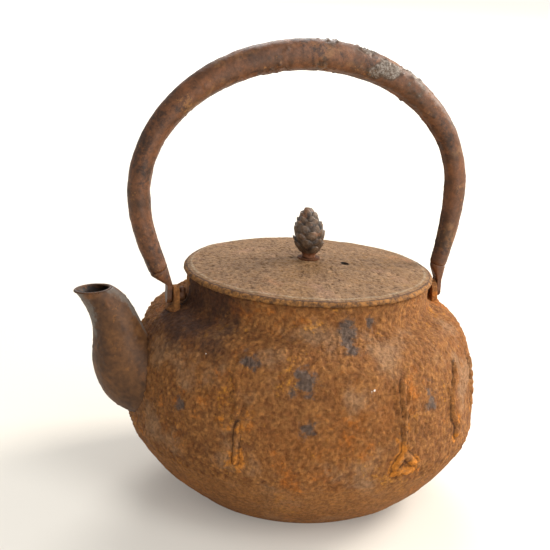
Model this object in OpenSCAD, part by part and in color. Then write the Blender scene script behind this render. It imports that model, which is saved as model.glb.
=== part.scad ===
// Cast iron kettle (tetsubin) with a trunk-shaped spout, a lift-off lid with a pine cone knob
// and a hollow forged bail that folds to either side.
// Frame: the origin is the centre of the flat base, +Z is up, the spout points along -X, and the
// bail stands in the XZ plane.

/* [Body] */
// Largest radius of the body, at the waist
body_r = 85; // [70:1:105]
// Height of the waist above the table
waist_z = 40; // [36:1:48]
// Height at which the shoulder meets the collar
shoulder_z = 95.5; // [86:0.5:115]
// Radius of the flat base
base_r = 50; // [40:1:58]
// Thickness of the cast wall
wall = 3; // [2.4:0.1:4]

/* [Collar] */
// Outer radius of the collar round the mouth
collar_r = 58.5; // [48:0.5:62]
// Height of the collar above the shoulder
collar_h = 13.5; // [12:0.5:18]
// Radius of the fillet between shoulder and collar
collar_fillet = 4; // [2:0.5:4.5]
// Thickness of the collar
collar_wall = 4; // [3:0.5:5]

/* [Lid] */
// How far the lid's edge stands out beyond the collar
lid_overhang = 1.6; // [0.5:0.1:3]
// Thickness of the lid plate
lid_t = 3.4; // [2.5:0.1:4.5]
// Rise of the lid's crown above its edge
lid_rise = 3.4; // [1:0.1:6]
// Width of the bevel round the lid's edge
lid_bevel = 4; // [2:0.5:6]
// Depth of the locating flange that hangs in the mouth
flange_h = 6; // [3:0.5:10]
// Thickness of the locating flange
flange_t = 2.8; // [2:0.1:4]
// Gap between the flange and the mouth
flange_gap = 0.8; // [0.4:0.1:1.5]
// Radius of the steam vent
vent_r = 2; // [1:0.1:3]
// Distance from the lid's centre to the steam vent
vent_reach = 18; // [16:1:40]
// Direction of the steam vent, counted from +X
vent_angle = -30; // [-180:5:180]

/* [Knob] */
// Height of the pine cone above its seat
cone_h = 24.4; // [16:0.2:30]
// Largest radius of the pine cone
cone_r = 7.7; // [5:0.1:10]
// Radius of the neck under the cone
neck_r = 3.2; // [3:0.1:4.5]
// How far the scales stand out of the cone
scale_h = 1.1; // [0.4:0.1:1.6]
// Radius of the tang that is riveted through the lid
tang_r = 2; // [1.5:0.1:2.6]
// Gap between the tang and its holes
tang_gap = 0.15; // [0.1:0.05:0.4]
// Radius of the seat between knob and lid
seat_r = 5.4; // [4.8:0.1:9]
// Thickness of the seat
seat_t = 1; // [0.6:0.1:3]
// Radius of the washer under the lid
washer_r = 5.6; // [4.5:0.1:8]
// Thickness of the washer under the lid
washer_t = 1.4; // [1:0.1:2.5]
// Thickness of the riveted head under the washer
rivet_t = 1.3; // [0.8:0.1:2]

/* [Spout] */
// How far the lip stands out beyond the waist
spout_reach = 28.2; // [20:0.2:40]
// How far the lip lies below the rim of the body
lip_drop = 6; // [-2:0.5:14]
// Width of the mouth, along the spout
mouth_w = 17.8; // [13:0.2:24]
// Width of the mouth, across the spout
mouth_across = 15.4; // [12:0.2:22]
// Height of the middle of the spout's root
root_z = 60; // [54:1:66]
// Height of the spout's root
root_h = 37; // [28:1:42]
// Width of the spout's root, across the spout
root_across = 40; // [28:1:46]
// Thickness of the spout's wall
spout_wall = 2.6; // [2:0.1:3.4]
// Thickness of the lip round the spout's mouth
spout_lip = 1.5; // [1:0.1:2]
// Radius of the hole in the body behind the spout
water_hole_r = 11; // [7:0.5:12]

/* [Lugs] */
// How far the inner face of a lug stands out from the collar
lug_out = 5.3; // [4.9:0.1:12]
// Thickness of a lug, along the bail's axis
lug_t = 3; // [2.6:0.1:5]
// Width of a lug where it meets the shoulder
lug_w = 15; // [12:0.5:18]
// Height of the bail's axis above the shoulder
pivot_h = 3.3; // [2.5:0.1:12]
// Radius of the hole in a lug
lug_hole_r = 2.4; // [2.2:0.1:3.2]
// Metal round the hole in a lug
lug_rim = 3.2; // [2:0.1:4]
// Radius of the round root that a lug has in the wall
lug_root_r = 1.4; // [1.1:0.1:1.5]

/* [Bail] */
// Half the width of the bail's arch, along its centre line
arch_r = 78.7; // [72:0.1:100]
// Height of the top of the arch above the bail's axis, along its centre line
arch_h = 115.3; // [90:0.1:150]
// Height above the bail's axis at which the legs run into the arch
spring_h = 51.2; // [38:0.2:66]
// How far the arch is set towards the spout
arch_shift = 5.4; // [0:0.1:8]
// Radius of the tube at the top of the grip
grip_r = 7.1; // [5.5:0.1:9]
// Radius of the tube where the legs run into the arch
leg_r = 5.1; // [4.2:0.1:6.5]
// Radius of the tube at its front end
front_end_r = 4.4; // [3.6:0.1:5]
// Radius of the tube at its rear end
rear_end_r = 3.9; // [3.6:0.1:5]
// Thickness of the rolled sheet that the tube is made of
tube_wall = 1.5; // [1:0.1:1.8]
// How far the front end of the tube stands outside its hook's strap
front_step = 5.2; // [2:0.2:7]
// How far the rear end of the tube stands inside its hook's strap
rear_step = 0.4; // [0:0.1:0.6]
// Height of the tube's ends above the bail's axis
tube_end_h = 13; // [8.6:0.2:16]

/* [Hooks] */
// Radial gap between a hook and the hole that it runs in
pin_gap = 0.08; // [0.02:0.01:0.1]
// Thickness of the flattened part of the hook
strap_t = 2.4; // [2:0.1:3.2]
// Radius of the flattened part's round end
strap_r = 3.2; // [2.6:0.1:3.6]
// Gap between a hook and the faces of its lug
hook_gap = 0.3; // [0.2:0.05:0.6]
// Radius of the turned-up tip
tip_r = 1.7; // [1.4:0.1:1.9]
// Height of the turned-up tip above the bail's axis
tip_h = 3; // [2:0.5:4]
// Thickness of the hook's shoulder under the tube's end
hook_shoulder = 1.2; // [0.8:0.1:2]
// Length of the hook's shank inside the tube
shank_l = 7; // [4:0.5:8]

/* [Hidden] */

IRON = "#7a4a2c";
LID_IRON = "#8a6a4e";
SPOUT_IRON = "#6d4730";
BAIL_IRON = "#6b4c36";
KNOB_IRON = "#5d463a";

FRONT = -1;
REAR = 1;

rim_z = shoulder_z + collar_h;
mouth_r = collar_r - collar_wall;
lip_z = rim_z - lip_drop;
lug_in = collar_r + lug_out;
pivot_z = shoulder_z + pivot_h;
arch_top_z = pivot_z + arch_h;
spring_z = pivot_z + spring_h;

ROUND = 128;
PIN_ROUND = 48;
// How far a cutting tool runs past the faces that it cuts
OVERRUN = 1;

// ---------------------------------------------------------------- curves

function lerp(a, b, t) = a + (b - a) * t;

function smooth(t) = t * t * (3 - 2 * t);

function bezier(p, t) =
    pow(1 - t, 3) * p[0] + 3 * pow(1 - t, 2) * t * p[1]
    + 3 * (1 - t) * t * t * p[2] + t * t * t * p[3];

function bezier_slope(p, t) =
    3 * pow(1 - t, 2) * (p[1] - p[0]) + 6 * (1 - t) * t * (p[2] - p[1]) + 3 * t * t * (p[3] - p[2]);

function unit(v) = v / norm(v);

// A point of the curve, moved inwards, square to the curve, by a wall thickness
function inset_point(p, t, depth) =
    let (d = unit(bezier_slope(p, t))) bezier(p, t) + depth * [-d[1], d[0]];

function curve(p, depth, steps, first = 0) =
    [for (i = [first:steps]) inset_point(p, i / steps, depth)];

// ---------------------------------------------------------------- a skin over rings of points

// Joins rings with the same number of points into one closed solid
module skin(rings) {
    n = len(rings[0]);
    last = len(rings) - 1;
    points = [for (ring = rings) each ring];
    sides = [for (i = [0:last - 1], j = [0:n - 1])
        let (k = (j + 1) % n) each [
            [i * n + j, i * n + k, (i + 1) * n + k],
            [i * n + j, (i + 1) * n + k, (i + 1) * n + j]]];
    start = [[for (j = [n - 1:-1:0]) j]];
    end = [[for (j = [0:n - 1]) last * n + j]];
    polyhedron(points = points, faces = concat(sides, start, end), convexity = 6);
}

// ---------------------------------------------------------------- body

// Each curve has four points: its two ends, and two handles between them that shape it
BOWL = [[base_r, 0], [base_r + 16, 8], [body_r - 2, waist_z - 13], [body_r, waist_z]];
SHOULDER = [[body_r, waist_z], [body_r, waist_z + 0.57 * (shoulder_z - waist_z)],
            [collar_r + 21, shoulder_z - 2], [collar_r, shoulder_z]];
CURVE_STEPS = 16;
FILLET_STEPS = 6;
// How far the fillet's foot is sunk in the shoulder
FILLET_SINK = 0.5;

// The outside of the body up to the collar's foot, as a half section
function outer_section() = concat(
    curve(BOWL, 0, CURVE_STEPS), curve(SHOULDER, 0, CURVE_STEPS, 1));

function inner_section() = concat(
    curve(BOWL, wall, CURVE_STEPS), curve(SHOULDER, wall, CURVE_STEPS, 1));

// The fillet's arc, from the shoulder up to the collar, with its foot sunk in the shoulder
function fillet_arc() = [for (i = [0:FILLET_STEPS])
    let (a = 270 - 90 * i / FILLET_STEPS)
    [collar_r + collar_fillet * (1 + cos(a)), shoulder_z - FILLET_SINK + collar_fillet * (1 + sin(a))]];

// Everything inside the outside of the body, which a lug or the spout may not enter
module body_envelope() {
    rotate_extrude($fn = ROUND)
        polygon(concat([[0, 0]], outer_section(), [[0, shoulder_z]]));
    rotate_extrude($fn = ROUND)
        polygon(concat([[0, shoulder_z - wall]], [[collar_r + collar_fillet, shoulder_z - wall]],
            fillet_arc(), [[collar_r, rim_z], [0, rim_z]]));
}

module body_cavity() {
    // the cavity starts at the floor and leaves through the mouth
    floor_z = inset_point(BOWL, 0, wall)[1];
    top = inset_point(SHOULDER, 1, wall);
    rotate_extrude($fn = ROUND)
        polygon(concat([[0, floor_z]], inner_section(), [[mouth_r, max(top[1] + 1, shoulder_z - wall)],
            [mouth_r, rim_z + OVERRUN], [0, rim_z + OVERRUN]]));
}

module water_hole() {
    translate([FRONT * (body_r + OVERRUN), 0, root_z])
        rotate([0, 90, 0]) cylinder(r = water_hole_r, h = body_r, $fn = PIN_ROUND);
}

module body_shell() {
    color(IRON) difference() {
        body_envelope();
        body_cavity();
        water_hole();
        for (side = [FRONT, REAR]) lug_root(side, OVERRUN);
    }
}

// ---------------------------------------------------------------- spout

// The outline seen from the side: the front runs up the belly and then out to the lip, and the
// back runs up from the shoulder to the mouth's rear edge. X counts outwards from the axis.
BELLY_X = body_r + 0.67 * spout_reach;
BELLY_Z = root_z + 10;
FRONT_LOW = [[body_r - 7, root_z - root_h / 2], [body_r + 7, root_z - root_h / 2],
             [BELLY_X, BELLY_Z - 15], [BELLY_X, BELLY_Z]];
FRONT_HIGH = [[BELLY_X, BELLY_Z], [BELLY_X - 0.5, BELLY_Z + 10],
              [BELLY_X - 1.4, lip_z - 13], [body_r + spout_reach, lip_z]];
BACK = [[body_r - 8, root_z + root_h / 2], [body_r - 3, root_z + root_h / 2 + 9.5],
        [body_r + spout_reach - mouth_w - 8.4, lip_z - 2],
        [body_r + spout_reach - mouth_w, lip_z + 1.6]];
SPOUT_RINGS = 18;
SPOUT_SIDES = 28;

function front_point(u) = u < 0.5 ? bezier(FRONT_LOW, 2 * u) : bezier(FRONT_HIGH, 2 * u - 1);

function back_point(u) = bezier(BACK, pow(u, 1.75));

// One section of the spout at u, from 0 at the root to 1 at the mouth, made smaller by inset
function spout_ring(u, inset) =
    let (f = front_point(u), b = back_point(u), mid = (f + b) / 2, d = unit(f - b),
         a = norm(f - b) / 2 - inset,
         w = lerp(root_across, mouth_across, smooth(u)) / 2 - inset)
    [for (j = [0:SPOUT_SIDES - 1])
        let (angle = 360 * j / SPOUT_SIDES, p = mid + a * cos(angle) * d)
        [FRONT * p[0], w * sin(angle), p[1]]];

// The wall thins out towards the lip
function spout_wall_at(u) = lerp(spout_wall, spout_lip, pow(u, 3));

function lifted(ring, h) = [for (p = ring) p + [0, 0, h]];

module spout() {
    color(SPOUT_IRON) difference() {
        skin([for (i = [0:SPOUT_RINGS]) spout_ring(i / SPOUT_RINGS, 0)]);
        skin(concat([for (i = [0:SPOUT_RINGS])
            let (u = i / SPOUT_RINGS) spout_ring(u, spout_wall_at(u))],
            [lifted(spout_ring(1, spout_lip), 2 * OVERRUN)]));
        body_envelope();
    }
}

// ---------------------------------------------------------------- lugs

// How far a lug and its root reach down before they are trimmed to the wall
LUG_DEPTH = 14;
LUG_TOP_STEP = 9;

module lug_root(side, overrun) {
    // a round root through the wall, under the middle of the lug
    translate([side * (lug_in + lug_t / 2), 0, shoulder_z - wall - LUG_DEPTH - overrun])
        cylinder(r = lug_root_r, h = wall + LUG_DEPTH + 2 * overrun, $fn = PIN_ROUND);
}

module lug(side) {
    color(IRON) difference() {
        union() {
            difference() {
                translate([side * (lug_in + lug_t / 2), 0, 0])
                    rotate([90, 0, 90])
                        linear_extrude(lug_t, center = true) polygon(concat(
                            [[-lug_w / 2, pivot_z - LUG_DEPTH], [lug_w / 2, pivot_z - LUG_DEPTH]],
                            [for (a = [0:LUG_TOP_STEP:180])
                                [lug_top_r * cos(a), pivot_z + lug_top_r * sin(a)]]));
                body_envelope();
            }
            intersection() {
                lug_root(side, 0);
                body_wall();
            }
        }
        translate([side * (lug_in - OVERRUN), 0, pivot_z])
            rotate([0, side * 90, 0])
                cylinder(r = lug_hole_r, h = lug_t + 2 * OVERRUN, $fn = PIN_ROUND);
    }
}

// The body's wall without its holes
module body_wall() {
    difference() {
        body_envelope();
        body_cavity();
    }
}

// ---------------------------------------------------------------- bail

pin_r = lug_hole_r - pin_gap;
strap_in = lug_in + lug_t + hook_gap;
strap_mid = strap_in + strap_t / 2;
lug_top_r = lug_hole_r + lug_rim;
// the strap stays flat until it is past the lug's top
STRAP_RISE = 0.8;
strap_top_z = pivot_z + lug_top_r + STRAP_RISE;
tube_end_z = pivot_z + tube_end_h;
TUBE_SIDES = 20;
LEG_STEPS = 7;
ARCH_STEPS = 24;

// Distance from the kettle's axis to the tube's end. The arch is shifted, so the legs differ.
function tube_end_x(side) = strap_mid + (side == FRONT ? front_step : -rear_step);

function spring_x(side) = arch_r - side * arch_shift;

function end_r(side) = side == FRONT ? front_end_r : rear_end_r;

function leg(side) =
    let (low = tube_end_x(side), high = spring_x(side), rise = spring_z - tube_end_z)
    [[low, tube_end_z], [lerp(low, high, 0.35), tube_end_z + 0.22 * rise],
     [high, spring_z - 0.4 * rise], [high, spring_z]];

// Stations along the bail, from the front end to the rear end: x, z and the tube's radius
function leg_stations(side) = [for (i = [0:LEG_STEPS - 1])
    let (t = i / LEG_STEPS, p = bezier(leg(side), t))
    [side * p[0], p[1], lerp(end_r(side), leg_r, smooth(t))]];

function reversed(list) = [for (i = [len(list) - 1:-1:0]) list[i]];

function arch_stations() = [for (i = [0:ARCH_STEPS])
    let (a = 180 * i / ARCH_STEPS)
    [-arch_shift - arch_r * cos(a), spring_z + (arch_top_z - spring_z) * sin(a),
     lerp(leg_r, grip_r, pow(sin(a), 2))]];

STATIONS = concat(leg_stations(FRONT), arch_stations(), reversed(leg_stations(REAR)));

// The direction of the bail's centre line at a station
function run_at(i) =
    let (a = STATIONS[max(i - 1, 0)], b = STATIONS[min(i + 1, len(STATIONS) - 1)])
    unit([b[0] - a[0], b[1] - a[1]]);

function tube_ring(i, inset, slide = 0) =
    let (s = STATIONS[i], d = run_at(i), r = s[2] - inset)
    [for (j = [0:TUBE_SIDES - 1])
        let (angle = 360 * j / TUBE_SIDES, across = r * cos(angle))
        [s[0] + slide * d[0] - across * d[1], r * sin(angle), s[1] + slide * d[1] + across * d[0]]];

module bail_tube() {
    last = len(STATIONS) - 1;
    color(BAIL_IRON) difference() {
        skin([for (i = [0:last]) tube_ring(i, 0)]);
        skin(concat([tube_ring(0, tube_wall, -2 * OVERRUN)],
            [for (i = [0:last]) tube_ring(i, tube_wall)],
            [tube_ring(last, tube_wall, 2 * OVERRUN)]));
    }
}

// ---------------------------------------------------------------- hooks

// How much smaller a hook's shoulder is than the tube's end, all round
END_STEP = 0.1;
// Height of the strap's top that the shoulder runs into
STRAP_CAP = 0.4;

// The direction of the bail's centre line at one of its ends, pointing into the tube
function end_run(side) = side == FRONT ? run_at(0) : -run_at(len(STATIONS) - 1);

module at_tube_end(side) {
    d = end_run(side);
    translate([side * tube_end_x(side), 0, tube_end_z]) rotate([0, atan2(d[0], d[1]), 0]) children();
}

// The flattened part that stands outside the lug, from the pin up to above the lug's top
module strap(side) {
    translate([side * strap_mid, 0, pivot_z]) rotate([0, 90, 0])
        cylinder(r = strap_r, h = strap_t, center = true, $fn = PIN_ROUND);
    translate([side * strap_mid - strap_t / 2, -strap_r, pivot_z])
        cube([strap_t, 2 * strap_r, strap_top_z - pivot_z]);
}

// A hook: a shank in the tube, a shoulder that closes the tube's end, a flattened strap outside
// the lug, a pin through the lug and a tip that is turned up inside it
module hook(side) {
    pin_in = lug_in - hook_gap - tip_r;
    color(BAIL_IRON) union() {
        at_tube_end(side) cylinder(r = end_r(side) - tube_wall, h = shank_l, $fn = PIN_ROUND);
        hull() {
            at_tube_end(side) translate([0, 0, -hook_shoulder])
                cylinder(r = end_r(side) - END_STEP, h = hook_shoulder, $fn = 32);
            translate([side * strap_mid - strap_t / 2, -strap_r, strap_top_z - STRAP_CAP])
                cube([strap_t, 2 * strap_r, STRAP_CAP]);
        }
        strap(side);
        translate([side * pin_in, 0, pivot_z]) rotate([0, side * 90, 0])
            cylinder(r = pin_r, h = strap_mid - pin_in, $fn = PIN_ROUND);
        translate([side * pin_in, 0, pivot_z]) {
            sphere(r = pin_r, $fn = PIN_ROUND);
            cylinder(r = tip_r, h = tip_h, $fn = PIN_ROUND);
            translate([0, 0, tip_h]) sphere(r = tip_r, $fn = PIN_ROUND);
        }
    }
}

// ---------------------------------------------------------------- lid

lid_r = collar_r + lid_overhang;
lid_edge_z = rim_z + lid_t;
crown_z = lid_edge_z + lid_rise;
BOSS_R = seat_r + 2;

// The lid's upper surface from the flat crown out to the bevel
LID_TOP = [[BOSS_R, crown_z], [0.45 * lid_r, crown_z], [0.75 * lid_r, lid_edge_z + 0.25 * lid_rise],
           [lid_r - lid_bevel, lid_edge_z]];
LID_STEPS = 10;

function lid_upper() = [for (i = [0:LID_STEPS]) bezier(LID_TOP, i / LID_STEPS)];

module lid_plate() {
    flange_r = mouth_r - flange_gap;
    upper = lid_upper();
    under = [for (i = [0:LID_STEPS]) if (upper[i][0] < flange_r - flange_t - 1) upper[i] - [0, lid_t]];
    color(LID_IRON) difference() {
        rotate_extrude($fn = ROUND) polygon(concat(
            [[0, crown_z]], upper,
            [[lid_r - 1, lid_edge_z - 0.5], [lid_r, lid_edge_z - 1.4], [lid_r, rim_z + 0.7],
             [lid_r - 0.7, rim_z], [flange_r, rim_z], [flange_r, rim_z - flange_h],
             [flange_r - flange_t, rim_z - flange_h], [flange_r - flange_t, rim_z + 0.2]],
            reversed(under), [[0, crown_z - lid_t]]));
        translate([0, 0, rim_z - flange_h])
            cylinder(r = tang_r + tang_gap, h = crown_z - rim_z + flange_h + OVERRUN, $fn = PIN_ROUND);
        rotate([0, 0, vent_angle]) translate([vent_reach, 0, rim_z - OVERRUN])
            cylinder(r = vent_r, h = crown_z - rim_z + 2 * OVERRUN, $fn = PIN_ROUND);
    }
}

// ---------------------------------------------------------------- knob

knob_z = crown_z + seat_t;
CONE_SIDES = 40;
CONE_RINGS = 26;
// The scales lie on two families of spirals, eight turning one way and five the other
SPIRALS_A = 8;
SPIRALS_B = 5;
RISE_A = 3;
RISE_B = 5;
// The bare length of the neck, and the length over which the scales grow, as shares of the cone
BARE_NECK = 0.08;
SCALES_GROW = 0.1;
// How far the riveted head stands out round the tang, at its end and against the washer
RIVET_FOOT = 0.5;
RIVET_BRIM = 1.6;

function part(x) = x - floor(x);

// Radius of the bare cone at v, from 0 at the neck to 1 at the top
function cone_core(v) = max(v < 0.5 ? neck_r : 0.4,
    (cone_r - scale_h) * pow(sin(180 * pow(v, 0.85)), 0.6));

function scale_rise(v, angle) =
    let (p = part(SPIRALS_A * angle / 360 + RISE_A * v), q = part(RISE_B * v - SPIRALS_B * angle / 360))
    v < BARE_NECK ? 0
    : scale_h * smooth(min(1, (v - BARE_NECK) / SCALES_GROW)) * sqrt(sin(180 * p) * sin(180 * q));

module knob() {
    under_z = crown_z - lid_t - washer_t;
    color(KNOB_IRON) union() {
        skin([for (i = [0:CONE_RINGS])
            let (v = i / CONE_RINGS)
            [for (j = [CONE_SIDES - 1:-1:0])
                let (angle = 360 * j / CONE_SIDES,
                     r = cone_core(v) + scale_rise(v, angle) * (1 - pow(v, 6)))
                [r * cos(angle), r * sin(angle), knob_z + v * cone_h]]]);
        translate([0, 0, under_z - rivet_t / 2])
            cylinder(r = tang_r, h = knob_z - under_z + rivet_t / 2 + OVERRUN, $fn = PIN_ROUND);
        translate([0, 0, under_z - rivet_t])
            cylinder(r1 = tang_r + RIVET_FOOT, r2 = tang_r + RIVET_BRIM, h = rivet_t, $fn = PIN_ROUND);
    }
}

module ring_plate(r, t, z) {
    color(KNOB_IRON) translate([0, 0, z]) difference() {
        cylinder(r = r, h = t, $fn = PIN_ROUND);
        translate([0, 0, -OVERRUN])
            cylinder(r = tang_r + tang_gap, h = t + 2 * OVERRUN, $fn = PIN_ROUND);
    }
}

module knob_seat() {
    ring_plate(seat_r, seat_t, crown_z);
}

module knob_washer() {
    ring_plate(washer_r, washer_t, crown_z - lid_t - washer_t);
}

// ---------------------------------------------------------------- assembly

body_shell();
spout();
lug(FRONT);  // front_lug
lug(REAR);  // rear_lug
bail_tube();
hook(FRONT);  // front_hook
hook(REAR);  // rear_hook
lid_plate();
knob();
knob_seat();
knob_washer();
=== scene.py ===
"""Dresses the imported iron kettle: a sand-cast vessel with spout, lid, pine cone knob and bail.

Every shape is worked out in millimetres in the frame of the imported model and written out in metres.
In each call of clouds or grains the first number is the lumps' real size in millimetres, and the
second only chooses the noise.
"""

import logging
import math
from dataclasses import dataclass, field
from enum import Enum

import bpy
import numpy as np
from bpy.types import Material, Mesh, Node, NodeSocket, NodeTree, Object
from mathutils import Matrix, Vector


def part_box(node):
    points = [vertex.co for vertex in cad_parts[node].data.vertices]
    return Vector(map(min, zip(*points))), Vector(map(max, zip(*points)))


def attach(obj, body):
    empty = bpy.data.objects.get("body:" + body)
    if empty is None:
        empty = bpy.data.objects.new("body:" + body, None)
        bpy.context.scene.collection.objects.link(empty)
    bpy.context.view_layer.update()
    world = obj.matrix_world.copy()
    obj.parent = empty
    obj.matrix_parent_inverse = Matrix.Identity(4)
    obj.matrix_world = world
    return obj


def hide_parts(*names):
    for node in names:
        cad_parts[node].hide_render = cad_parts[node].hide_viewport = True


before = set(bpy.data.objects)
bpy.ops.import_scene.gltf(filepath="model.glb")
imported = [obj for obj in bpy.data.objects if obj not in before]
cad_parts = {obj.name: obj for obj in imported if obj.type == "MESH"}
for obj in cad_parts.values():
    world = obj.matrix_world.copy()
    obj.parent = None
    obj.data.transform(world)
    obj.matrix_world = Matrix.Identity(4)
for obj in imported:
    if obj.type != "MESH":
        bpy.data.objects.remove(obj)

LOG = logging.getLogger("kettle")
MM = 0.001
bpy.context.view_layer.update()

# degrees between the points of a drilled hole, and how far off its wall a point may lie in mm
DRILL_STEP, HOLE_SLACK = 7.5, 0.05
# width of the lumps on forged and small cast pieces, in mm
FORGED_LUMP = 2.6
# what the ground's level is made of, and the levels at which it is fully dark and fully light
CLOUD_SHARE, GRAIN_SHARE = 0.85, 0.3
DARKEST, LIGHTEST = 0.36, 0.84
# how strongly patches are drawn into their clusters and to their marked places
CLUSTER_PULL, MARK_PULL = 1.1, 0.6


class Side(Enum):
    """The two ends of the bail's axis."""

    FRONT = -1
    REAR = 1


# ------------------------------------------------------------------ numbers and curves


def node_box(node: str) -> tuple[np.ndarray, np.ndarray]:
    """Lowest and highest corners of a CAD node.

    Args:
        node: The node's name.

    Returns:
        The two corners in millimetres.
    """
    low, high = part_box(node)
    return np.array(low) / MM, np.array(high) / MM


def bezier(points: list, t: np.ndarray) -> np.ndarray:
    """Points of a cubic curve.

    Args:
        points: The four control points.
        t: Where to read the curve, from 0 to 1.

    Returns:
        One row for each value of t.
    """
    p = np.array(points, float)
    t = np.asarray(t, float)[:, None]
    s = 1 - t
    return s**3 * p[0] + 3 * s * s * t * p[1] + 3 * s * t * t * p[2] + t**3 * p[3]


def arc(centre: tuple, radius: float, start: float, end: float, steps: int) -> np.ndarray:
    """Points of a circular arc in a half section.

    Args:
        centre: The arc's centre.
        radius: Its radius.
        start: First angle in degrees.
        end: Last angle in degrees.
        steps: How many stretches it has.

    Returns:
        The points, one a row.
    """
    a = np.radians(np.linspace(start, end, steps + 1))
    return np.c_[centre[0] + radius * np.cos(a), centre[1] + radius * np.sin(a)]


def evenly(points: np.ndarray, step: float) -> np.ndarray:
    """Points at even distances along a polyline.

    Args:
        points: The polyline.
        step: The distance wanted between neighbours.

    Returns:
        The new points, which keep both ends.
    """
    run = np.r_[0, np.cumsum(np.linalg.norm(np.diff(points, axis=0), axis=1))]
    wanted = np.linspace(0, run[-1], max(2, round(run[-1] / step) + 1))
    return np.stack([np.interp(wanted, run, column) for column in points.T], 1)


def smooth(x: np.ndarray, low: float, high: float) -> np.ndarray:
    """A soft step from 0 at low to 1 at high."""
    t = np.clip((x - low) / (high - low), 0, 1)
    return t * t * (3 - 2 * t)


# ------------------------------------------------------------------ noise in space


def scatter(cells: np.ndarray, seed: int) -> np.ndarray:
    """A fixed number from 0 to 1 for each cell of a lattice.

    Args:
        cells: Whole cell coordinates, in the last axis.
        seed: Which set of numbers.

    Returns:
        One number for each cell.
    """
    c = (cells + 100_000).astype(np.uint64)
    h = c[..., 0] * np.uint64(374761393) + c[..., 1] * np.uint64(668265263)
    h = h + c[..., 2] * np.uint64(2246822519) + np.uint64(seed * 3266489917)
    h = (h ^ (h >> np.uint64(15))) * np.uint64(2654435761)
    h = (h ^ (h >> np.uint64(13))) * np.uint64(1274126177)
    return ((h ^ (h >> np.uint64(16))) & np.uint64(0xFFFFFF)) / float(0xFFFFFF)


def clouds(points: np.ndarray, size: float, seed: int, octaves: int = 3) -> np.ndarray:
    """Soft noise, from about -1 to 1.

    Args:
        points: Where to read it, in millimetres.
        size: Width of the largest lumps, in millimetres.
        seed: Which noise.
        octaves: How many finer layers are added.

    Returns:
        One value for each point.
    """
    total = np.zeros(points.shape[:-1])
    weight, sum_of_weights = 1.0, 0.0
    for layer in range(octaves):
        q = points / (size / 2**layer) + 17.3 * layer
        base = np.floor(q)
        f = q - base
        w = f * f * (3 - 2 * f)
        base = base.astype(np.int64)
        value = np.zeros(points.shape[:-1])
        for corner in np.ndindex(2, 2, 2):
            share = np.prod(np.where(corner, w, 1 - w), axis=-1)
            value += share * scatter(base + corner, seed + layer)
        total += weight * (2 * value - 1)
        sum_of_weights += weight
        weight *= 0.55
    return total / sum_of_weights * 1.6


def grains(points: np.ndarray, size: float, seed: int) -> np.ndarray:
    """Distance to the nearest of many scattered grains, from 0 at a grain to about 1 between them.

    Args:
        points: Where to read it, in millimetres.
        size: Mean distance between grains, in millimetres.
        seed: Which grains.

    Returns:
        One value for each point.
    """
    q = points / size
    base = np.floor(q).astype(np.int64)
    best = np.full(points.shape[:-1], 9.0)
    for step in np.ndindex(3, 3, 3):
        cell = base + np.array(step) - 1
        offset = [scatter(cell, seed + axis) for axis in range(3)]
        gap = np.stack(offset, -1) + cell - q
        best = np.minimum(best, (gap * gap).sum(-1))
    return np.sqrt(best)


# ------------------------------------------------------------------ meshes


@dataclass
class Skin:
    """A closed skin over rings of points, all with the same count.

    Attributes:
        rings: Array of rings, points and coordinates, in millimetres.
        marks: Named values for each point, which become attributes of the mesh.
    """

    rings: np.ndarray
    marks: dict[str, np.ndarray] = field(default_factory=dict)

    def normals(self) -> np.ndarray:
        """Works out which way the surface faces.

        Returns:
            Unit normals of the rings' surface, pointing out of the solid.
        """
        along = np.gradient(self.rings, axis=0)
        around = np.roll(self.rings, -1, 1) - np.roll(self.rings, 1, 1)
        n = np.cross(around, along)
        return n / np.maximum(np.linalg.norm(n, axis=-1, keepdims=True), 1e-9)

    def raise_by(self, height: np.ndarray) -> None:
        """Moves every point along its normal.

        Args:
            height: How far, in millimetres, for each point.
        """
        self.rings = self.rings + self.normals() * height[..., None]

    def piece(self, name: str, capped: bool = True) -> Object:
        """Makes the skin into an object, with a point closing each end.

        Args:
            name: The piece's name.
            capped: Whether the ends are closed.

        Returns:
            The object, linked to the scene.
        """
        count, sides = self.rings.shape[:2]
        verts = self.rings.reshape(-1, 3)
        i, j = np.meshgrid(np.arange(count - 1), np.arange(sides), indexing="ij")
        k = (j + 1) % sides
        ring, above = i * sides, (i + 1) * sides
        quads = np.stack([ring + j, ring + k, above + k, above + j], -1)
        faces = quads.reshape(-1, 4).tolist()
        values = {key: value.reshape(-1) for key, value in self.marks.items()}
        if capped:
            verts = np.r_[verts, self.rings[0].mean(0)[None], self.rings[-1].mean(0)[None]]
            first, last = len(verts) - 2, len(verts) - 1
            for n in range(sides):
                m = (n + 1) % sides
                faces.append([first, m, n])
                faces.append([last, (count - 1) * sides + n, (count - 1) * sides + m])
            values = {key: np.r_[v, v[0], v[-1]] for key, v in values.items()}
        mesh = bpy.data.meshes.new(name)
        mesh.from_pydata((verts * MM).tolist(), [], faces)
        for key, value in values.items():
            add_mark(mesh, key, value)
        return as_object(mesh, name)


def as_object(mesh: Mesh, name: str) -> Object:
    """Links a smooth-shaded mesh to the scene.

    Args:
        mesh: The mesh.
        name: The object's name.

    Returns:
        The new object.
    """
    mesh.shade_smooth()
    piece = bpy.data.objects.new(name, mesh)
    bpy.context.scene.collection.objects.link(piece)
    return piece


def points_of(mesh: Mesh) -> np.ndarray:
    """The places of a mesh's points in millimetres, one a row."""
    places = np.empty(len(mesh.vertices) * 3, np.float32)
    mesh.vertices.foreach_get("co", places)
    return places.reshape(-1, 3) / MM


def move_points(mesh: Mesh, points: np.ndarray) -> None:
    """Moves a mesh's points to new places, given in millimetres."""
    mesh.vertices.foreach_set("co", (points * MM).astype(np.float32).reshape(-1))
    mesh.update()


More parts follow.
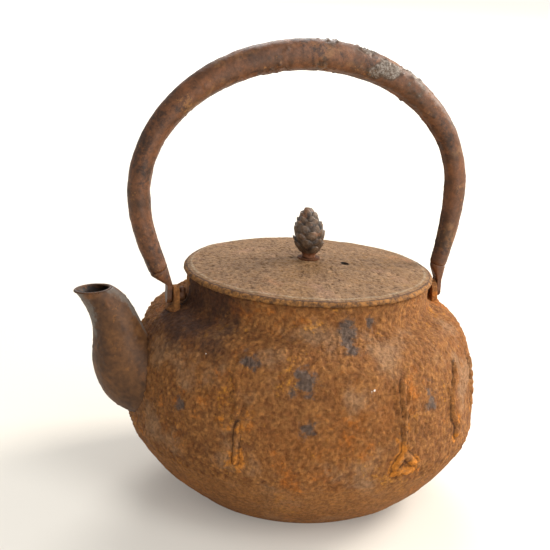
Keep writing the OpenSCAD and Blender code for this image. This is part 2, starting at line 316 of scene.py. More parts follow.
def add_mark(mesh: Mesh, name: str, values: np.ndarray) -> None:
    """Writes one value for each point of a mesh, which a finish can read by name."""
    mark = mesh.attributes.new(name, "FLOAT", "POINT")
    mark.data.foreach_set("value", values.astype(np.float32))


def merged(name: str, sources: list[Mesh]) -> Mesh:
    """Puts several meshes into one.

    Args:
        name: The new mesh's name.
        sources: The meshes, which stay as they are.

    Returns:
        The new mesh.
    """
    verts, faces = [], []
    for mesh in sources:
        start = len(verts)
        verts += [list(v.co) for v in mesh.vertices]
        faces += [[start + v for v in p.vertices] for p in mesh.polygons]
    whole = bpy.data.meshes.new(name)
    whole.from_pydata(verts, [], faces)
    return whole


def settle(piece: Object) -> None:
    """Applies a piece's modifiers to its mesh.

    Args:
        piece: The piece.
    """
    bpy.context.view_layer.update()
    seen = piece.evaluated_get(bpy.context.evaluated_depsgraph_get())
    mesh = bpy.data.meshes.new_from_object(seen)
    piece.modifiers.clear()
    piece.data = mesh


def weld(piece: Object, voxel: float, passes: int) -> None:
    """Rebuilds a piece as one solid and softens its edges, as casting or forging does.

    Args:
        piece: The piece.
        voxel: Grid that it is rebuilt on, in millimetres.
        passes: How often it is softened.
    """
    remesh = piece.modifiers.new("weld", "REMESH")
    remesh.mode = "VOXEL"
    remesh.voxel_size = voxel * MM
    soften = piece.modifiers.new("soften", "SMOOTH")
    soften.factor = 0.5
    soften.iterations = passes
    settle(piece)


def bore(
    piece: Object, centre: tuple, axis: tuple, radius: float, length: float
) -> None:
    """Cuts a round hole through a piece, and marks the hole's wall for painted shade.

    Args:
        piece: The piece that is cut.
        centre: Middle of the hole, in millimetres.
        axis: Direction of the hole.
        radius: The hole's radius, in millimetres.
        length: The hole's length, in millimetres.
    """
    a = np.radians(np.arange(0, 360, DRILL_STEP))
    circle = np.stack([radius * np.cos(a), radius * np.sin(a), 0 * a], -1)
    ends = [circle - [0, 0, length / 2], circle + [0, 0, length / 2]]
    drill = Skin(np.array(ends)).piece("drill")
    turn = Vector((0, 0, 1)).rotation_difference(Vector(axis)).to_matrix().to_4x4()
    drill.data.transform(Matrix.Translation(Vector(centre) * MM) @ turn)
    cut = piece.modifiers.new("cut", "BOOLEAN")
    cut.operation = "DIFFERENCE"
    cut.solver = "EXACT"
    cut.object = drill
    settle(piece)
    bpy.data.objects.remove(drill)
    mesh = piece.data
    mesh.shade_smooth()
    line = np.array(Vector(axis).normalized())
    away = points_of(mesh) - np.array(centre)
    height = away @ line
    inside = np.linalg.norm(away - height[:, None] * line, axis=1) < radius + HOLE_SLACK
    inside &= np.abs(height) < length / 2
    # the hole's wall is painted dark: painted shade inside the hole
    painted_hollow_shade = np.empty(len(mesh.vertices), np.float32)
    mesh.attributes["painted_hollow_shade"].data.foreach_get("value", painted_hollow_shade)
    painted_hollow_shade = np.maximum(painted_hollow_shade, inside.astype(np.float32))
    mesh.attributes["painted_hollow_shade"].data.foreach_set("value", painted_hollow_shade)


def revolve(section: np.ndarray, sides: int) -> np.ndarray:
    """Turns a half section about the kettle's axis.

    Args:
        section: Radius and height of each point, in millimetres.
        sides: Points in each ring.

    Returns:
        The rings.
    """
    a = np.linspace(0, 2 * np.pi, sides, endpoint=False)
    r = section[:, 0][:, None]
    z = np.broadcast_to(section[:, 1][:, None], (len(section), sides))
    return np.stack([r * np.cos(a), r * np.sin(a), z], -1)


def ball(centre: np.ndarray, radii: np.ndarray) -> np.ndarray:
    """Rings of an ellipsoid.

    Args:
        centre: Its centre, in millimetres.
        radii: Its three radii, in millimetres.

    Returns:
        The rings.
    """
    a = np.radians(np.linspace(-85, 85, 15))
    return revolve(np.c_[np.cos(a), np.sin(a)], 32) * radii + centre


def recast(
    node: str, name: str, extra: list[np.ndarray], voxel: float, grain: float
) -> Object:
    """A softened, grainy copy of a CAD node, as it comes out of a mould or a forge.

    Args:
        node: The CAD node to copy.
        name: The new piece's name.
        extra: Rings of any metal that is run into the copy, in millimetres.
        voxel: Grid that the copy is rebuilt on, in millimetres.
        grain: Height of the surface's unevenness, in millimetres.

    Returns:
        The new piece.
    """
    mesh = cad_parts[node].data.copy()
    mesh.materials.clear()
    piece = as_object(mesh, name)
    for rings in extra:
        added = Skin(rings).piece("added")
        piece.data = merged(name, [piece.data, added.data])
        bpy.data.objects.remove(added)
    weld(piece, voxel, 4)
    roughen(piece, grain)
    return piece


def roughen(piece: Object, grain: float) -> None:
    """Moves a piece's points along their normals by soft noise.

    Args:
        piece: The piece.
        grain: Largest move, in millimetres.
    """
    mesh = piece.data
    normals = np.empty(len(mesh.vertices) * 3, np.float32)
    mesh.vertex_normals.foreach_get("vector", normals)
    points = points_of(mesh)
    lumps = clouds(points, FORGED_LUMP, 5)
    move_points(mesh, points + normals.reshape(-1, 3) * (lumps * grain)[:, None])
    add_mark(mesh, "grain", np.clip(0.5 + 0.5 * lumps, 0, 1))
    mesh.shade_smooth()


# ------------------------------------------------------------------ finishes


def linear(code: str) -> tuple[float, float, float, float]:
    """Turns an sRGB hex colour into linear values with alpha 1."""
    parts = [int(code[i : i + 2], 16) / 255 for i in (1, 3, 5)]
    turned = [c / 12.92 if c <= 0.04045 else ((c + 0.055) / 1.055) ** 2.4 for c in parts]
    return (*turned, 1.0)


def add_node(
    tree: NodeTree, kind: str, settings: dict, links: dict | None = None
) -> Node:
    """Adds one shader node.

    Args:
        tree: The material's or world's node tree.
        kind: The node's type, without the ShaderNode that all of them begin with.
        settings: Values by socket name or number, or by property name.
        links: Output sockets by the name or number of the input that they feed.

    Returns:
        The new node.
    """
    node = tree.nodes.new("ShaderNode" + kind)
    for key, value in settings.items():
        if isinstance(key, int) or key in node.inputs:
            node.inputs[key].default_value = value
        else:
            setattr(node, key, value)
    for key, socket in (links or {}).items():
        tree.links.new(socket, node.inputs[key])
    return node


def noise_settings(size: float, seed: float, fine: float) -> dict:
    """Settings of noise whose lumps have a real width.

    Args:
        size: Width of the lumps in millimetres.
        seed: Which noise.
        fine: Weight of its finer layers.

    Returns:
        The settings.
    """
    layers = {"W": seed, "Detail": 5.0, "Roughness": fine}
    return {"noise_dimensions": "4D", "Scale": 1 / (size * MM), **layers}


@dataclass(frozen=True)
class Patch:
    """A colour that lies over the ones below it in patches.

    Attributes:
        colour: sRGB hex.
        size: Width of the patches in millimetres.
        start: Noise level at which a patch begins; a higher one gives fewer patches.
        edge: How far above that level the patch is full.
        strength: Share of the colour where it is full.
        seed: Which noise.
        fine: How broken the patches' edges are, from 0 to 1.
        cluster: Width in millimetres of the areas that the patches keep to, or 0.
        mark: Point attribute that limits the patches, or nothing.
        bare: Share of bare, more metallic iron that the patch shows.
    """

    colour: str
    size: float
    start: float
    edge: float
    strength: float
    seed: float
    fine: float = 0.6
    cluster: float = 0.0
    mark: str = ""
    bare: float = 0.0


@dataclass(frozen=True)
class RustedIron:
    """An iron surface under rust, seen as layers of colour over a grain.

    Attributes:
        name: The material's name.
        dark: Darker ground colour, in the hollows of the grain.
        light: Lighter ground colour, on its tops.
        ground: Width of the ground's own clouding in millimetres.
        patches: Colours over the ground, lowest first.
        grit: Width of the finest grain in millimetres.
        grit_depth: Depth of that grain in millimetres.
        rough: Roughness of the rust.
        bare_rough: Roughness where bare iron shows.
        fleck: How much the finest grain darkens and lightens the colour.
        gloss: Specular level of the rust, low because it is porous.
    """

    name: str
    dark: str
    light: str
    ground: float
    patches: tuple[Patch, ...]
    grit: float
    grit_depth: float
    rough: float = 0.85
    bare_rough: float = 0.45
    fleck: float = 0.3
    gloss: float = 0.2

    def material(self) -> Material:
        """Builds the material: ground, patches over it, grain and shader.

        Returns:
            The material.
        """
        made = bpy.data.materials.new(self.name)
        made.use_nodes = True
        tree = made.node_tree
        tree.nodes.clear()
        place = add_node(tree, "TexCoord", {}).outputs["Object"]
        colour, bare = self.ground_colour(tree, place), None
        for patch in self.patches:
            mask = self.mask(tree, place, patch)
            over = {"data_type": "RGBA", 7: linear(patch.colour)}
            colour = add_node(tree, "Mix", over, {0: mask, 6: colour}).outputs[2]
            if patch.bare:
                part = {"operation": "MULTIPLY", 1: patch.bare}
                share = add_node(tree, "Math", part, {0: mask}).outputs[0]
                both = {0: share, 1: share if bare is None else bare}
                bare = add_node(tree, "Math", {"operation": "MAXIMUM"}, both).outputs[0]
        self.shade(tree, place, colour, bare)
        return made

    def ground_colour(
        self, tree: NodeTree, place: NodeSocket
    ) -> NodeSocket:
        """Colour under all the patches: clouded, and darker in the hollows of the grain.

        Args:
            tree: The node tree.
            place: Where the clouds are read.

        Returns:
            The colour.
        """
        grain = add_node(tree, "Attribute", {"attribute_name": "grain"}).outputs["Fac"]
        wide = noise_settings(self.ground, 3.1, 0.6)
        cloud = add_node(tree, "TexNoise", wide, {"Vector": place}).outputs["Fac"]
        part = add_node(tree, "Math", {"operation": "MULTIPLY", 1: GRAIN_SHARE}, {0: grain})
        add = {"operation": "MULTIPLY_ADD", 1: CLOUD_SHARE}
        level = add_node(tree, "Math", add, {0: cloud, 2: part.outputs[0]})
        span = {"From Min": DARKEST, "From Max": LIGHTEST}
        spread = add_node(tree, "MapRange", span, {"Value": level.outputs[0]})
        shades = {"data_type": "RGBA", 6: linear(self.dark), 7: linear(self.light)}
        return add_node(tree, "Mix", shades, {0: spread.outputs[0]}).outputs[2]

    def mask(
        self, tree: NodeTree, place: NodeSocket, patch: Patch
    ) -> NodeSocket:
        """Where a patch's colour lies.

        Args:
            tree: The node tree.
            place: Where the patches are read.
            patch: The patch.

        Returns:
            The colour's share, from 0 to the patch's strength.
        """
        speckle = noise_settings(patch.size, patch.seed, patch.fine)
        value = add_node(tree, "TexNoise", speckle, {"Vector": place}).outputs["Fac"]
        if patch.cluster:
            wide = noise_settings(patch.cluster, patch.seed + 7.7, 0.5)
            area = add_node(tree, "TexNoise", wide, {"Vector": place}).outputs["Fac"]
            pull = {"operation": "MULTIPLY_ADD", 1: CLUSTER_PULL, 2: -CLUSTER_PULL / 2}
            lift = add_node(tree, "Math", pull, {0: area}).outputs[0]
            value = add_node(tree, "Math", {"operation": "ADD"}, {0: value, 1: lift}).outputs[0]
        if patch.mark:
            mark = add_node(tree, "Attribute", {"attribute_name": patch.mark}).outputs["Fac"]
            pull = {"operation": "MULTIPLY_ADD", 1: MARK_PULL}
            value = add_node(tree, "Math", pull, {0: mark, 2: value}).outputs[0]
        limits = {
            "interpolation_type": "SMOOTHSTEP",
            "From Min": patch.start,
            "From Max": patch.start + patch.edge,
            "To Max": patch.strength,
        }
        return add_node(tree, "MapRange", limits, {"Value": value}).outputs[0]

    def shade(
        self,
        tree: NodeTree,
        place: NodeSocket,
        colour: NodeSocket,
        bare: NodeSocket | None,
    ) -> None:
        """Adds the grain, the shader and the output.

        Args:
            tree: The node tree.
            place: Where the grain is read.
            colour: The finished colour.
            bare: Share of bare iron, or nothing.
        """
        finest = noise_settings(self.grit, 9.4, 0.62)
        grit = add_node(tree, "TexNoise", finest, {"Vector": place}).outputs["Fac"]
        tops, hollows = 1 + self.fleck * 0.6, 1 - self.fleck
        span = {"From Min": 0.4, "From Max": 0.6, "To Min": hollows, "To Max": tops}
        speck = add_node(tree, "MapRange", span, {"Value": grit}).outputs[0]
        times = {"data_type": "RGBA", "blend_type": "MULTIPLY", 0: 1.0}
        flecked = add_node(tree, "Mix", times, {6: colour, 7: speck}).outputs[2]
        depth = {"Strength": 1.0, "Distance": self.grit_depth * MM}
        bump = add_node(tree, "Bump", depth, {"Height": grit}).outputs[0]
        iron = {"Roughness": self.rough, "Specular IOR Level": self.gloss}
        shader = add_node(tree, "BsdfPrincipled", iron, {"Base Color": flecked, "Normal": bump})
        if bare is not None:
            span = {"To Min": self.rough, "To Max": self.bare_rough}
            rough = add_node(tree, "MapRange", span, {"Value": bare})
            tree.links.new(bare, shader.inputs["Metallic"])
            tree.links.new(rough.outputs[0], shader.inputs["Roughness"])
        add_node(tree, "OutputMaterial", {}, {"Surface": shader.outputs[0]})


# Sand-cast iron, rusted dry: the mould's sand leaves a gritty grain, whose tops have weathered
# to a dusty ochre, and yellow and orange rust stains gather low on the wall and by the motifs.
# Painted shade darkens the grooves beside the motifs, the upper wall on the spout's side and
# the inside.
SAND_CAST_IRON = RustedIron(
    name="sand_cast_iron_rusted",
    dark="#6c4221",
    light="#996838",
    ground=3.4,
    patches=(
        Patch("#7f4c20", 12.0, 0.46, 0.3, 0.55, 1.3, cluster=40.0),
        Patch("#94765a", 16.0, 0.50, 0.22, 0.5, 12.3, fine=0.55, cluster=44.0),
        Patch("#b5671f", 6.0, 0.56, 0.24, 0.6, 2.6, fine=0.75, cluster=36.0),
        Patch("#cc8a2e", 2.6, 0.62, 0.2, 0.6, 4.2, fine=0.75, cluster=20.0),
        Patch("#c27620", 3.4, 0.80, 0.3, 0.62, 5.1, fine=0.8, mark="flare"),
        # painted shadow of the lid and bail over the upper wall on the spout's side
        Patch("#33201a", 12.0, 0.74, 0.42, 0.85, 6.3, mark="shade"),
        Patch("#554d48", 2.6, 0.70, 0.26, 0.8, 7.5, fine=0.85, mark="bare", bare=0.5),
        Patch("#5a4c40", 3.4, 0.78, 0.14, 0.4, 8.1, fine=0.8, cluster=34.0, bare=0.2),
        Patch("#8c5c2e", 9.0, 0.75, 0.3, 0.5, 8.9, mark="bowl"),
        # painted shade in the grooves beside the motifs
        Patch("#2b1a10", 2.2, 0.8, 0.3, 0.6, 10.9, mark="groove_and_painted_shade"),
        Patch("#e9e2da", 1.0, 1.0, 0.05, 0.9, 9.9, fine=0.5, mark="lime"),
        # painted shade inside the vessel and its water hole
        Patch("#120d0a", 3.0, 0.8, 0.1, 0.9, 11.9, mark="painted_hollow_shade"),
    ),
    grit=1.5,
    grit_depth=1.7,
    fleck=0.3,
)

# Smooth cast iron under thin rust: the spout was rubbed down, so light runs along it, and a grey
# patina keeps to its upper side.
SMOOTH_CAST_IRON = RustedIron(
    name="smooth_cast_iron_thin_rust",
    dark="#3b2412",
    light="#6c4726",
    ground=14.0,
    patches=(
        Patch("#7c4d24", 7.0, 0.52, 0.24, 0.55, 1.9, cluster=24.0),
        Patch("#6b655e", 4.6, 0.86, 0.22, 0.7, 2.2, fine=0.65, mark="patina", bare=0.35),
        Patch("#2f1d13", 8.0, 0.62, 0.24, 0.5, 3.3),
        Patch("#93602c", 1.8, 0.68, 0.12, 0.3, 4.5, cluster=14.0),
        # painted shade inside the spout's mouth
        Patch("#14100d", 3.0, 0.8, 0.1, 0.85, 11.9, mark="painted_hollow_shade"),
    ),
    grit=1.4,
    grit_depth=0.14,
    fleck=0.14,
    rough=0.58,
    bare_rough=0.42,
    gloss=0.3,
)

# Finely cast iron, dry: closer sand gives the lid a tight pitted grain, and handling has left it a
# khaki brown, with rust in its pits and a browner edge; a painted highlight runs along the arris,
# and painted shade darkens the vent's wall.
FINE_CAST_IRON = RustedIron(
    name="fine_cast_iron_dry",
    dark="#593f29",
    light="#8b6c4c",
    ground=4.0,
    patches=(
        Patch("#7a5833", 9.0, 0.5, 0.24, 0.45, 1.1, cluster=30.0),
        Patch("#3f2a18", 1.1, 0.64, 0.12, 0.4, 2.1, fine=0.8),
        Patch("#8d6b55", 14.0, 0.54, 0.16, 0.45, 7.1, fine=0.5),
        Patch("#875736", 4.0, 0.62, 0.2, 0.4, 3.1, cluster=22.0),
        Patch("#4b3220", 7.0, 0.66, 0.2, 0.9, 6.1, mark="edge"),
        Patch("#a8733a", 3.0, 0.98, 0.2, 0.6, 5.1, fine=0.7, mark="edge"),
        # painted highlight: a pale line along the lid's arris
        Patch("#97866d", 3.0, 0.85, 0.3, 0.55, 4.1, fine=0.7, mark="painted_arris_highlight", bare=0.15),
        # painted shade on the vent's wall
        Patch("#120d0a", 3.0, 0.8, 0.1, 0.92, 11.9, mark="painted_hollow_shade"),
    ),
    grit=1.3,
    grit_depth=0.8,
    fleck=0.24,
    rough=0.8,
)

# Wrought iron tube, rolled and hammered: smooth and dark, polished by hands, with pits that have
# gone through the polish to grey iron; the pale grey flecks on the worn top are that bare iron and
# also painted glints.
WROUGHT_IRON = RustedIron(
    name="wrought_iron_tube_worn",
    dark="#3a2311",
    light="#714527",
    ground=9.0,
    patches=(
        Patch("#86603a", 6.0, 0.56, 0.24, 0.5, 1.7, cluster=26.0),
        Patch("#1e130d", 3.4, 0.55, 0.14, 0.7, 2.9, fine=0.8, cluster=18.0),
        Patch("#3f3226", 6.0, 0.76, 0.24, 0.75, 5.9, fine=0.7, mark="worn", bare=0.35),
        # pale flecks on the worn top: bare grey iron, and also painted glints
        Patch("#8e867c", 1.2, 1.0, 0.16, 0.6, 3.9, fine=0.85, mark="worn", bare=0.5),
        Patch("#9a6a38", 1.4, 0.68, 0.1, 0.4, 4.9, cluster=12.0),
    ),
    grit=1.1,
    grit_depth=0.2,
    fleck=0.2,
    rough=0.52,
    bare_rough=0.27,
    gloss=0.34,
)

# Finely cast iron, dark: on the knob the dark ground in the hollows between the scales is painted
# shade, and the paler ground on the scales' outer faces is a painted highlight.
DARK_CAST_IRON = RustedIron(
    name="fine_cast_iron_dark",
    dark="#1a110b",
    light="#6e5641",
    ground=3.0,
    patches=(
        Patch("#3a2416", 4.0, 0.5, 0.24, 0.45, 1.5),
        Patch("#7a4d2c", 2.4, 0.6, 0.16, 0.55, 2.5, cluster=9.0),
        Patch("#6e3f22", 3.0, 0.7, 0.2, 0.8, 3.5, mark="neck"),
    ),
    grit=0.6,
    grit_depth=0.16,
    fleck=0.2,
    rough=0.5,
    gloss=0.45,
)

# The same iron at the knob's seat, where water has stood and left red-brown rust.
SEAT_IRON = RustedIron(
    name="fine_cast_iron_wet_rust",
    dark="#4a2a16",
    light="#7d4f2e",
    ground=3.0,
    patches=(Patch("#8e7a66", 2.0, 0.58, 0.14, 0.4, 1.5),),
    grit=0.8,
    grit_depth=0.3,
    fleck=0.3,
)


# ------------------------------------------------------------------ vessel


@dataclass(frozen=True)
class Stroke:
    """One worn raised line of the cast decoration.

    Attributes:
        path: Points along and up from the motif's place, in millimetres.
        width: Half width in millimetres.
        height: Height in millimetres.
    """

    path: tuple[tuple[float, float], ...]
    width: float
    height: float


@dataclass(frozen=True)
class Motif:
    """A plant form cast on the wall.

    Attributes:
        angle: Where its foot's line stands, in degrees about the axis.
        strokes: Its lines, with heights above the table.
    """

    angle: float
    strokes: tuple[Stroke, ...]


@dataclass(frozen=True)
class Spot:
    """A place on the vessel's wall.

    Attributes:
        angle: Degrees about the axis.
        z: Height in millimetres.
        radius: Its size in millimetres.
    """

    angle: float
    z: float
    radius: float


@dataclass
class Vessel:
    """The cast body, its collar and its lugs.

    Attributes:
        base_r: Radius of the flat base.
        waist_z: Height of the widest place.
        shoulder_z: Height at which the shoulder meets the collar.
        collar_r: Outer radius of the collar.
        collar_wall: Thickness of the collar.
        fillet: Radius of the fillet at the collar's foot.
        wall: Thickness of the wall.
        seam_z: Height of the mould's parting line.
        water_hole_r: Radius of the hole behind the spout.
        water_hole_z: Height of that hole.
        skirt: Radii of the metal run in at a lug's foot.
        skirt_sink: How far below the shoulder's top its middle lies.
        step: Spacing of the points on the outside.
        sides: Points in each ring.
        waist_r: Outer radius at the widest place.
        rim_z: Height of the rim.
        motifs: The cast decoration.
        bare_spots: Where grey iron shows.
        lime_spots: Where lime has dried on.
    """

    base_r: float = 50
    waist_z: float = 40
    shoulder_z: float = 95.5
    collar_r: float = 58.5
    collar_wall: float = 4
    fillet: float = 4
    wall: float = 3
    seam_z: float = 31
    water_hole_r: float = 11
    water_hole_z: float = 60
    skirt: tuple[float, float, float] = (4.2, 8.6, 2.0)
    skirt_sink: float = 2.4
    step: float = 0.72
    sides: int = 760
    waist_r: float = field(init=False)
    rim_z: float = field(init=False)

    motifs: tuple[Motif, ...] = (
        # a tall reed with a tangled root
        Motif(-73.5, (
            Stroke(((0.4, 79), (-0.4, 72), (0.6, 64), (-0.2, 56), (0.5, 47)), 1.2, 1.0),
            Stroke(((-4.6, 41), (-2, 44.5), (0.5, 47), (3.4, 44), (6.4, 41.5)), 1.5, 1.2),
            Stroke(((-4.2, 37.5), (-1, 40), (2.4, 38.4), (5.6, 38)), 1.5, 1.0),
            Stroke(((0.2, 60), (-2.4, 63.5), (-3, 67)), 0.9, 0.7),
            Stroke(((0.4, 66), (3, 70), (3.6, 74)), 0.9, 0.7),
            Stroke(((-4.4, 78), (-3.4, 73), (-4, 69)), 0.9, 0.6),
        )),
        # a bent reed with a swollen foot
        Motif(-49.5, (
            Stroke(((4.6, 80), (3.2, 76), (0, 70), (-1.8, 64), (-1.2, 57)), 1.0, 1.2),
            Stroke(((-1.2, 57), (1.6, 54.5), (4, 51), (3.2, 47)), 1.7, 1.3),
            Stroke(((-0.4, 66), (-3.4, 69), (-4.2, 72)), 0.8, 0.7),
        )),
        # a short tuft near the back
        Motif(-31, (
            Stroke(((1.4, 78), (0, 70), (0.8, 62), (-0.6, 55)), 1.1, 1.1),
            Stroke(((-2.6, 66), (0, 62), (2.6, 66)), 0.8, 0.8),
        )),
        # a broken reed by the spout
        Motif(-127, (
            Stroke(((-1.6, 86), (-2.4, 79), (-1, 74)), 1.5, 0.7),
            Stroke(((-2, 72), (0.4, 69), (-0.6, 63)), 1.6, 0.8),
            Stroke(((0.9, 60), (1.1, 52), (0.7, 42)), 1.0, 1.1),
            Stroke(((-9, 60.5), (-5, 58.5), (-2, 60)), 1.4, 0.5),
            Stroke(((2.6, 63), (6, 64.5)), 1.3, 0.5),
        )),
        # two reeds round the far side
        Motif(66, (
            Stroke(((0.4, 80), (-0.8, 68), (0.6, 54), (0, 42)), 1.2, 1.0),
            Stroke(((0, 60), (3.4, 66), (5, 72)), 0.9, 0.8),
            Stroke(((-4, 41), (0, 44), (4.4, 40.5)), 1.4, 1.0),
        )),
        Motif(118, (
            Stroke(((1, 82), (0, 70), (1.2, 58)), 1.2, 0.9),
            Stroke(((0, 66), (-3.6, 71)), 0.9, 0.7),
            Stroke(((1.2, 55), (0.4, 44)), 1.4, 1.0),
        )),
    )
    bare_spots: tuple[Spot, ...] = (
        Spot(-89, 96, 12),
        Spot(-78, 101, 8),
        Spot(-107, 80, 12),
        Spot(-105, 61, 9),
        Spot(-62, 70, 11),
        Spot(-125, 88, 9),
        Spot(-148, 62, 6),
        Spot(35, 82, 12),
        Spot(95, 66, 14),
        Spot(150, 80, 12),
    )
    lime_spots: tuple[Spot, ...] = (Spot(-142, 86.4, 2.6), Spot(-84.6, 77.2, 3.2))

    def __post_init__(self) -> None:
        """Takes the overall sizes from the frame."""
        low, high = node_box("body_shell")
        self.waist_r = (high[1] - low[1]) / 2
        self.rim_z = high[2]

    def shoulder(self) -> np.ndarray:
        """The outside from the base's edge to the collar's foot.

        Returns:
            Radius and height of each point.
        """
        t = np.linspace(0, 1, 60)
        rise = self.shoulder_z - self.waist_z
        bowl = [
            [self.base_r, 0],
            [self.base_r + 16, 8],
            [self.waist_r - 2, self.waist_z - 13],
            [self.waist_r, self.waist_z],
        ]
        upper = [
            [self.waist_r, self.waist_z],
            [self.waist_r, self.waist_z + 0.57 * rise],
            [self.collar_r + 21, self.shoulder_z - 2],
            [self.collar_r + self.fillet, self.shoulder_z - 0.5],
        ]
        return np.r_[bezier(bowl, t), bezier(upper, t)[1:]]

    def wall_r(self, z: np.ndarray) -> np.ndarray:
        """Outer radius of the wall at each height."""
        section = self.shoulder()
        return np.interp(z, section[:, 1], section[:, 0])

    def section(self) -> tuple[np.ndarray, int]:
        """The whole half section, from the base's middle out and back to it inside.

        Returns:
            The points, and how many of them are outside.
        """
        middle = (self.collar_r + self.fillet, self.shoulder_z - 0.5 + self.fillet)
        fillet = arc(middle, self.fillet, 270, 180, 8)
        outer_edge, inner_edge = 1.2, 0.8
        rim = arc((self.collar_r - outer_edge, self.rim_z - outer_edge), outer_edge, 0, 90, 5)
        mouth_r = self.collar_r - self.collar_wall
        lip = arc((mouth_r + inner_edge, self.rim_z - inner_edge), inner_edge, 90, 180, 4)
        sprue = [[2.0, 0.6], [9.5, 0.5], [11, 0.0], [12.5, 0.35]]
        base = np.array([*sprue, [self.base_r - 2.5, 0.15]])
        outside = self.eased(evenly(np.r_[base, self.shoulder(), fillet[1:], rim, lip], self.step))
        inside = self.shoulder()[::-1] - [self.wall, 0]
        under = self.shoulder_z - self.wall - 1
        inside = inside[(inside[:, 1] > self.wall + 2) & (inside[:, 1] < under)]
        floor = [[self.base_r - 8, self.wall + 0.3], [2.0, self.wall]]
        inside = np.r_[[[mouth_r, under + 1]], inside, floor]
        return np.r_[outside, evenly(inside, 3.0)], len(outside)

    def eased(self, outside: np.ndarray) -> np.ndarray:
        """Softens the turn from shoulder to collar, as a rammed sand mould leaves it.

        Args:
            outside: Evenly spaced points of the outer half section.

        Returns:
            The same points, eased between the shoulder and the rim.
        """
        reach = np.arange(-14, 15)
        weight = np.exp(-((reach / 5.5) ** 2))
        soft = np.stack([np.convolve(c, weight / weight.sum(), "same") for c in outside.T], 1)
        z = outside[:, 1]
        share = smooth(z, self.shoulder_z - 12, self.shoulder_z - 3)
        share = share * (1 - smooth(z, self.rim_z - 6, self.rim_z - 2))
        share = share * (outside[:, 0] > self.collar_r - 1)
        return outside + (soft - outside) * share[:, None]

    def decoration(
        self, angle: np.ndarray, z: np.ndarray
    ) -> tuple[np.ndarray, np.ndarray, np.ndarray]:
        """Height of the worn motifs, how near each point is to one, and the groove beside it, which
        is also painted with shade.

        Args:
            angle: Degrees about the axis of each point.
            z: Height of each point.

        Returns:
            The height in millimetres, and the nearness and the groove, which also sets the painted
            shade, from 0 to 1.
        """
        height, near, groove_and_painted_shade = np.zeros(z.shape), np.zeros(z.shape), np.zeros(z.shape)
        radius = self.wall_r(z)
        for motif in self.motifs:
            turn = (angle - motif.angle + 180) % 360 - 180
            across = np.radians(turn) * radius
            zone = np.abs(across) < 18
            p = np.stack([across[zone], z[zone]], -1)
            wobble = clouds(np.c_[p, np.full(len(p), motif.angle)], 4.0, 31) * 0.5
            for stroke in motif.strokes:
                gap = np.full(len(p), 99.0)
                for a, b in zip(stroke.path, stroke.path[1:]):
                    a, b = np.array(a), np.array(b)
                    t = np.clip(((p - a) @ (b - a)) / ((b - a) @ (b - a)), 0, 1)
                    gap = np.minimum(gap, np.linalg.norm(p - a - t[:, None] * (b - a), axis=1))
                gap = gap + wobble
                raised = stroke.height * (1 - smooth(gap, stroke.width * 0.5, stroke.width * 1.3))
                height[zone] = np.maximum(height[zone], raised)
                near[zone] = np.maximum(near[zone], 1 - smooth(gap, 0.5, 9.0))
                beside = np.exp(-(((gap - stroke.width * 1.45) / 0.8) ** 2))
                groove_and_painted_shade[zone] = np.maximum(groove_and_painted_shade[zone], beside * stroke.height)
        return height, near, groove_and_painted_shade * (height < 0.25)

    def marked(self, spots: tuple[Spot, ...], angle: np.ndarray, z: np.ndarray) -> np.ndarray:
        """How near each point is to any of some spots.

        Args:
            spots: The spots.
            angle: Degrees about the axis of each point.
            z: Height of each point.

        Returns:
            The nearness, from 0 at a spot's edge to 1 at its middle.
        """
        best = np.zeros(z.shape)
        for spot in spots:
            turn = np.radians((angle - spot.angle + 180) % 360 - 180) * self.waist_r
            gap = np.hypot(turn, z - spot.z) / spot.radius
            best = np.maximum(best, np.clip(1 - gap, 0, 1))
        return best

    def weather(self, skin: Skin, out: np.ndarray) -> None:
        """Gives the smooth skin its cast grain and decoration, and marks where each rust and each
        painted shade goes.

        Args:
            skin: The smooth skin.
            out: Whether each point is outside.
        """
        p = skin.rings
        z = p[..., 2]
        angle = np.degrees(np.arctan2(p[..., 1], p[..., 0]))
        above = smooth(z, self.seam_z - 1.0, self.seam_z + 2.0)
        collar = smooth(z, self.shoulder_z + 1, self.shoulder_z + 5)
        lumps, near, groove_and_painted_shade = self.decoration(angle, z)
        wave = clouds(p, 26, 3, 2) * 0.4 + clouds(p, 8, 4, 2) * 0.25
        worn = clouds(p, 2.4, 11, 2)
        sand = smooth(0.62 - grains(p, 2.3, 7), 0.0, 0.5) - 0.45 + 0.5 * worn
        pits = -smooth(0.26 - grains(p, 6.5, 21), 0.0, 0.18) * 0.4
        seam_line = self.seam_z + clouds(p, 30, 8, 1) * 0.5
        seam = np.exp(-(((z - seam_line) / 0.8) ** 2)) * (0.3 + 0.25 * clouds(p, 9, 9, 2))
        zones = 0.75 + 0.5 * clouds(p, 20, 13, 2)
        coarse = 0.58 * zones * above * (1 - 0.7 * collar) + 0.1
        height = wave * (1 - 0.6 * collar) + sand * coarse + pits * above + seam
        height = height - 0.25 * (1 - above) + lumps * (1.0 + 0.4 * worn) - 0.35 * groove_and_painted_shade
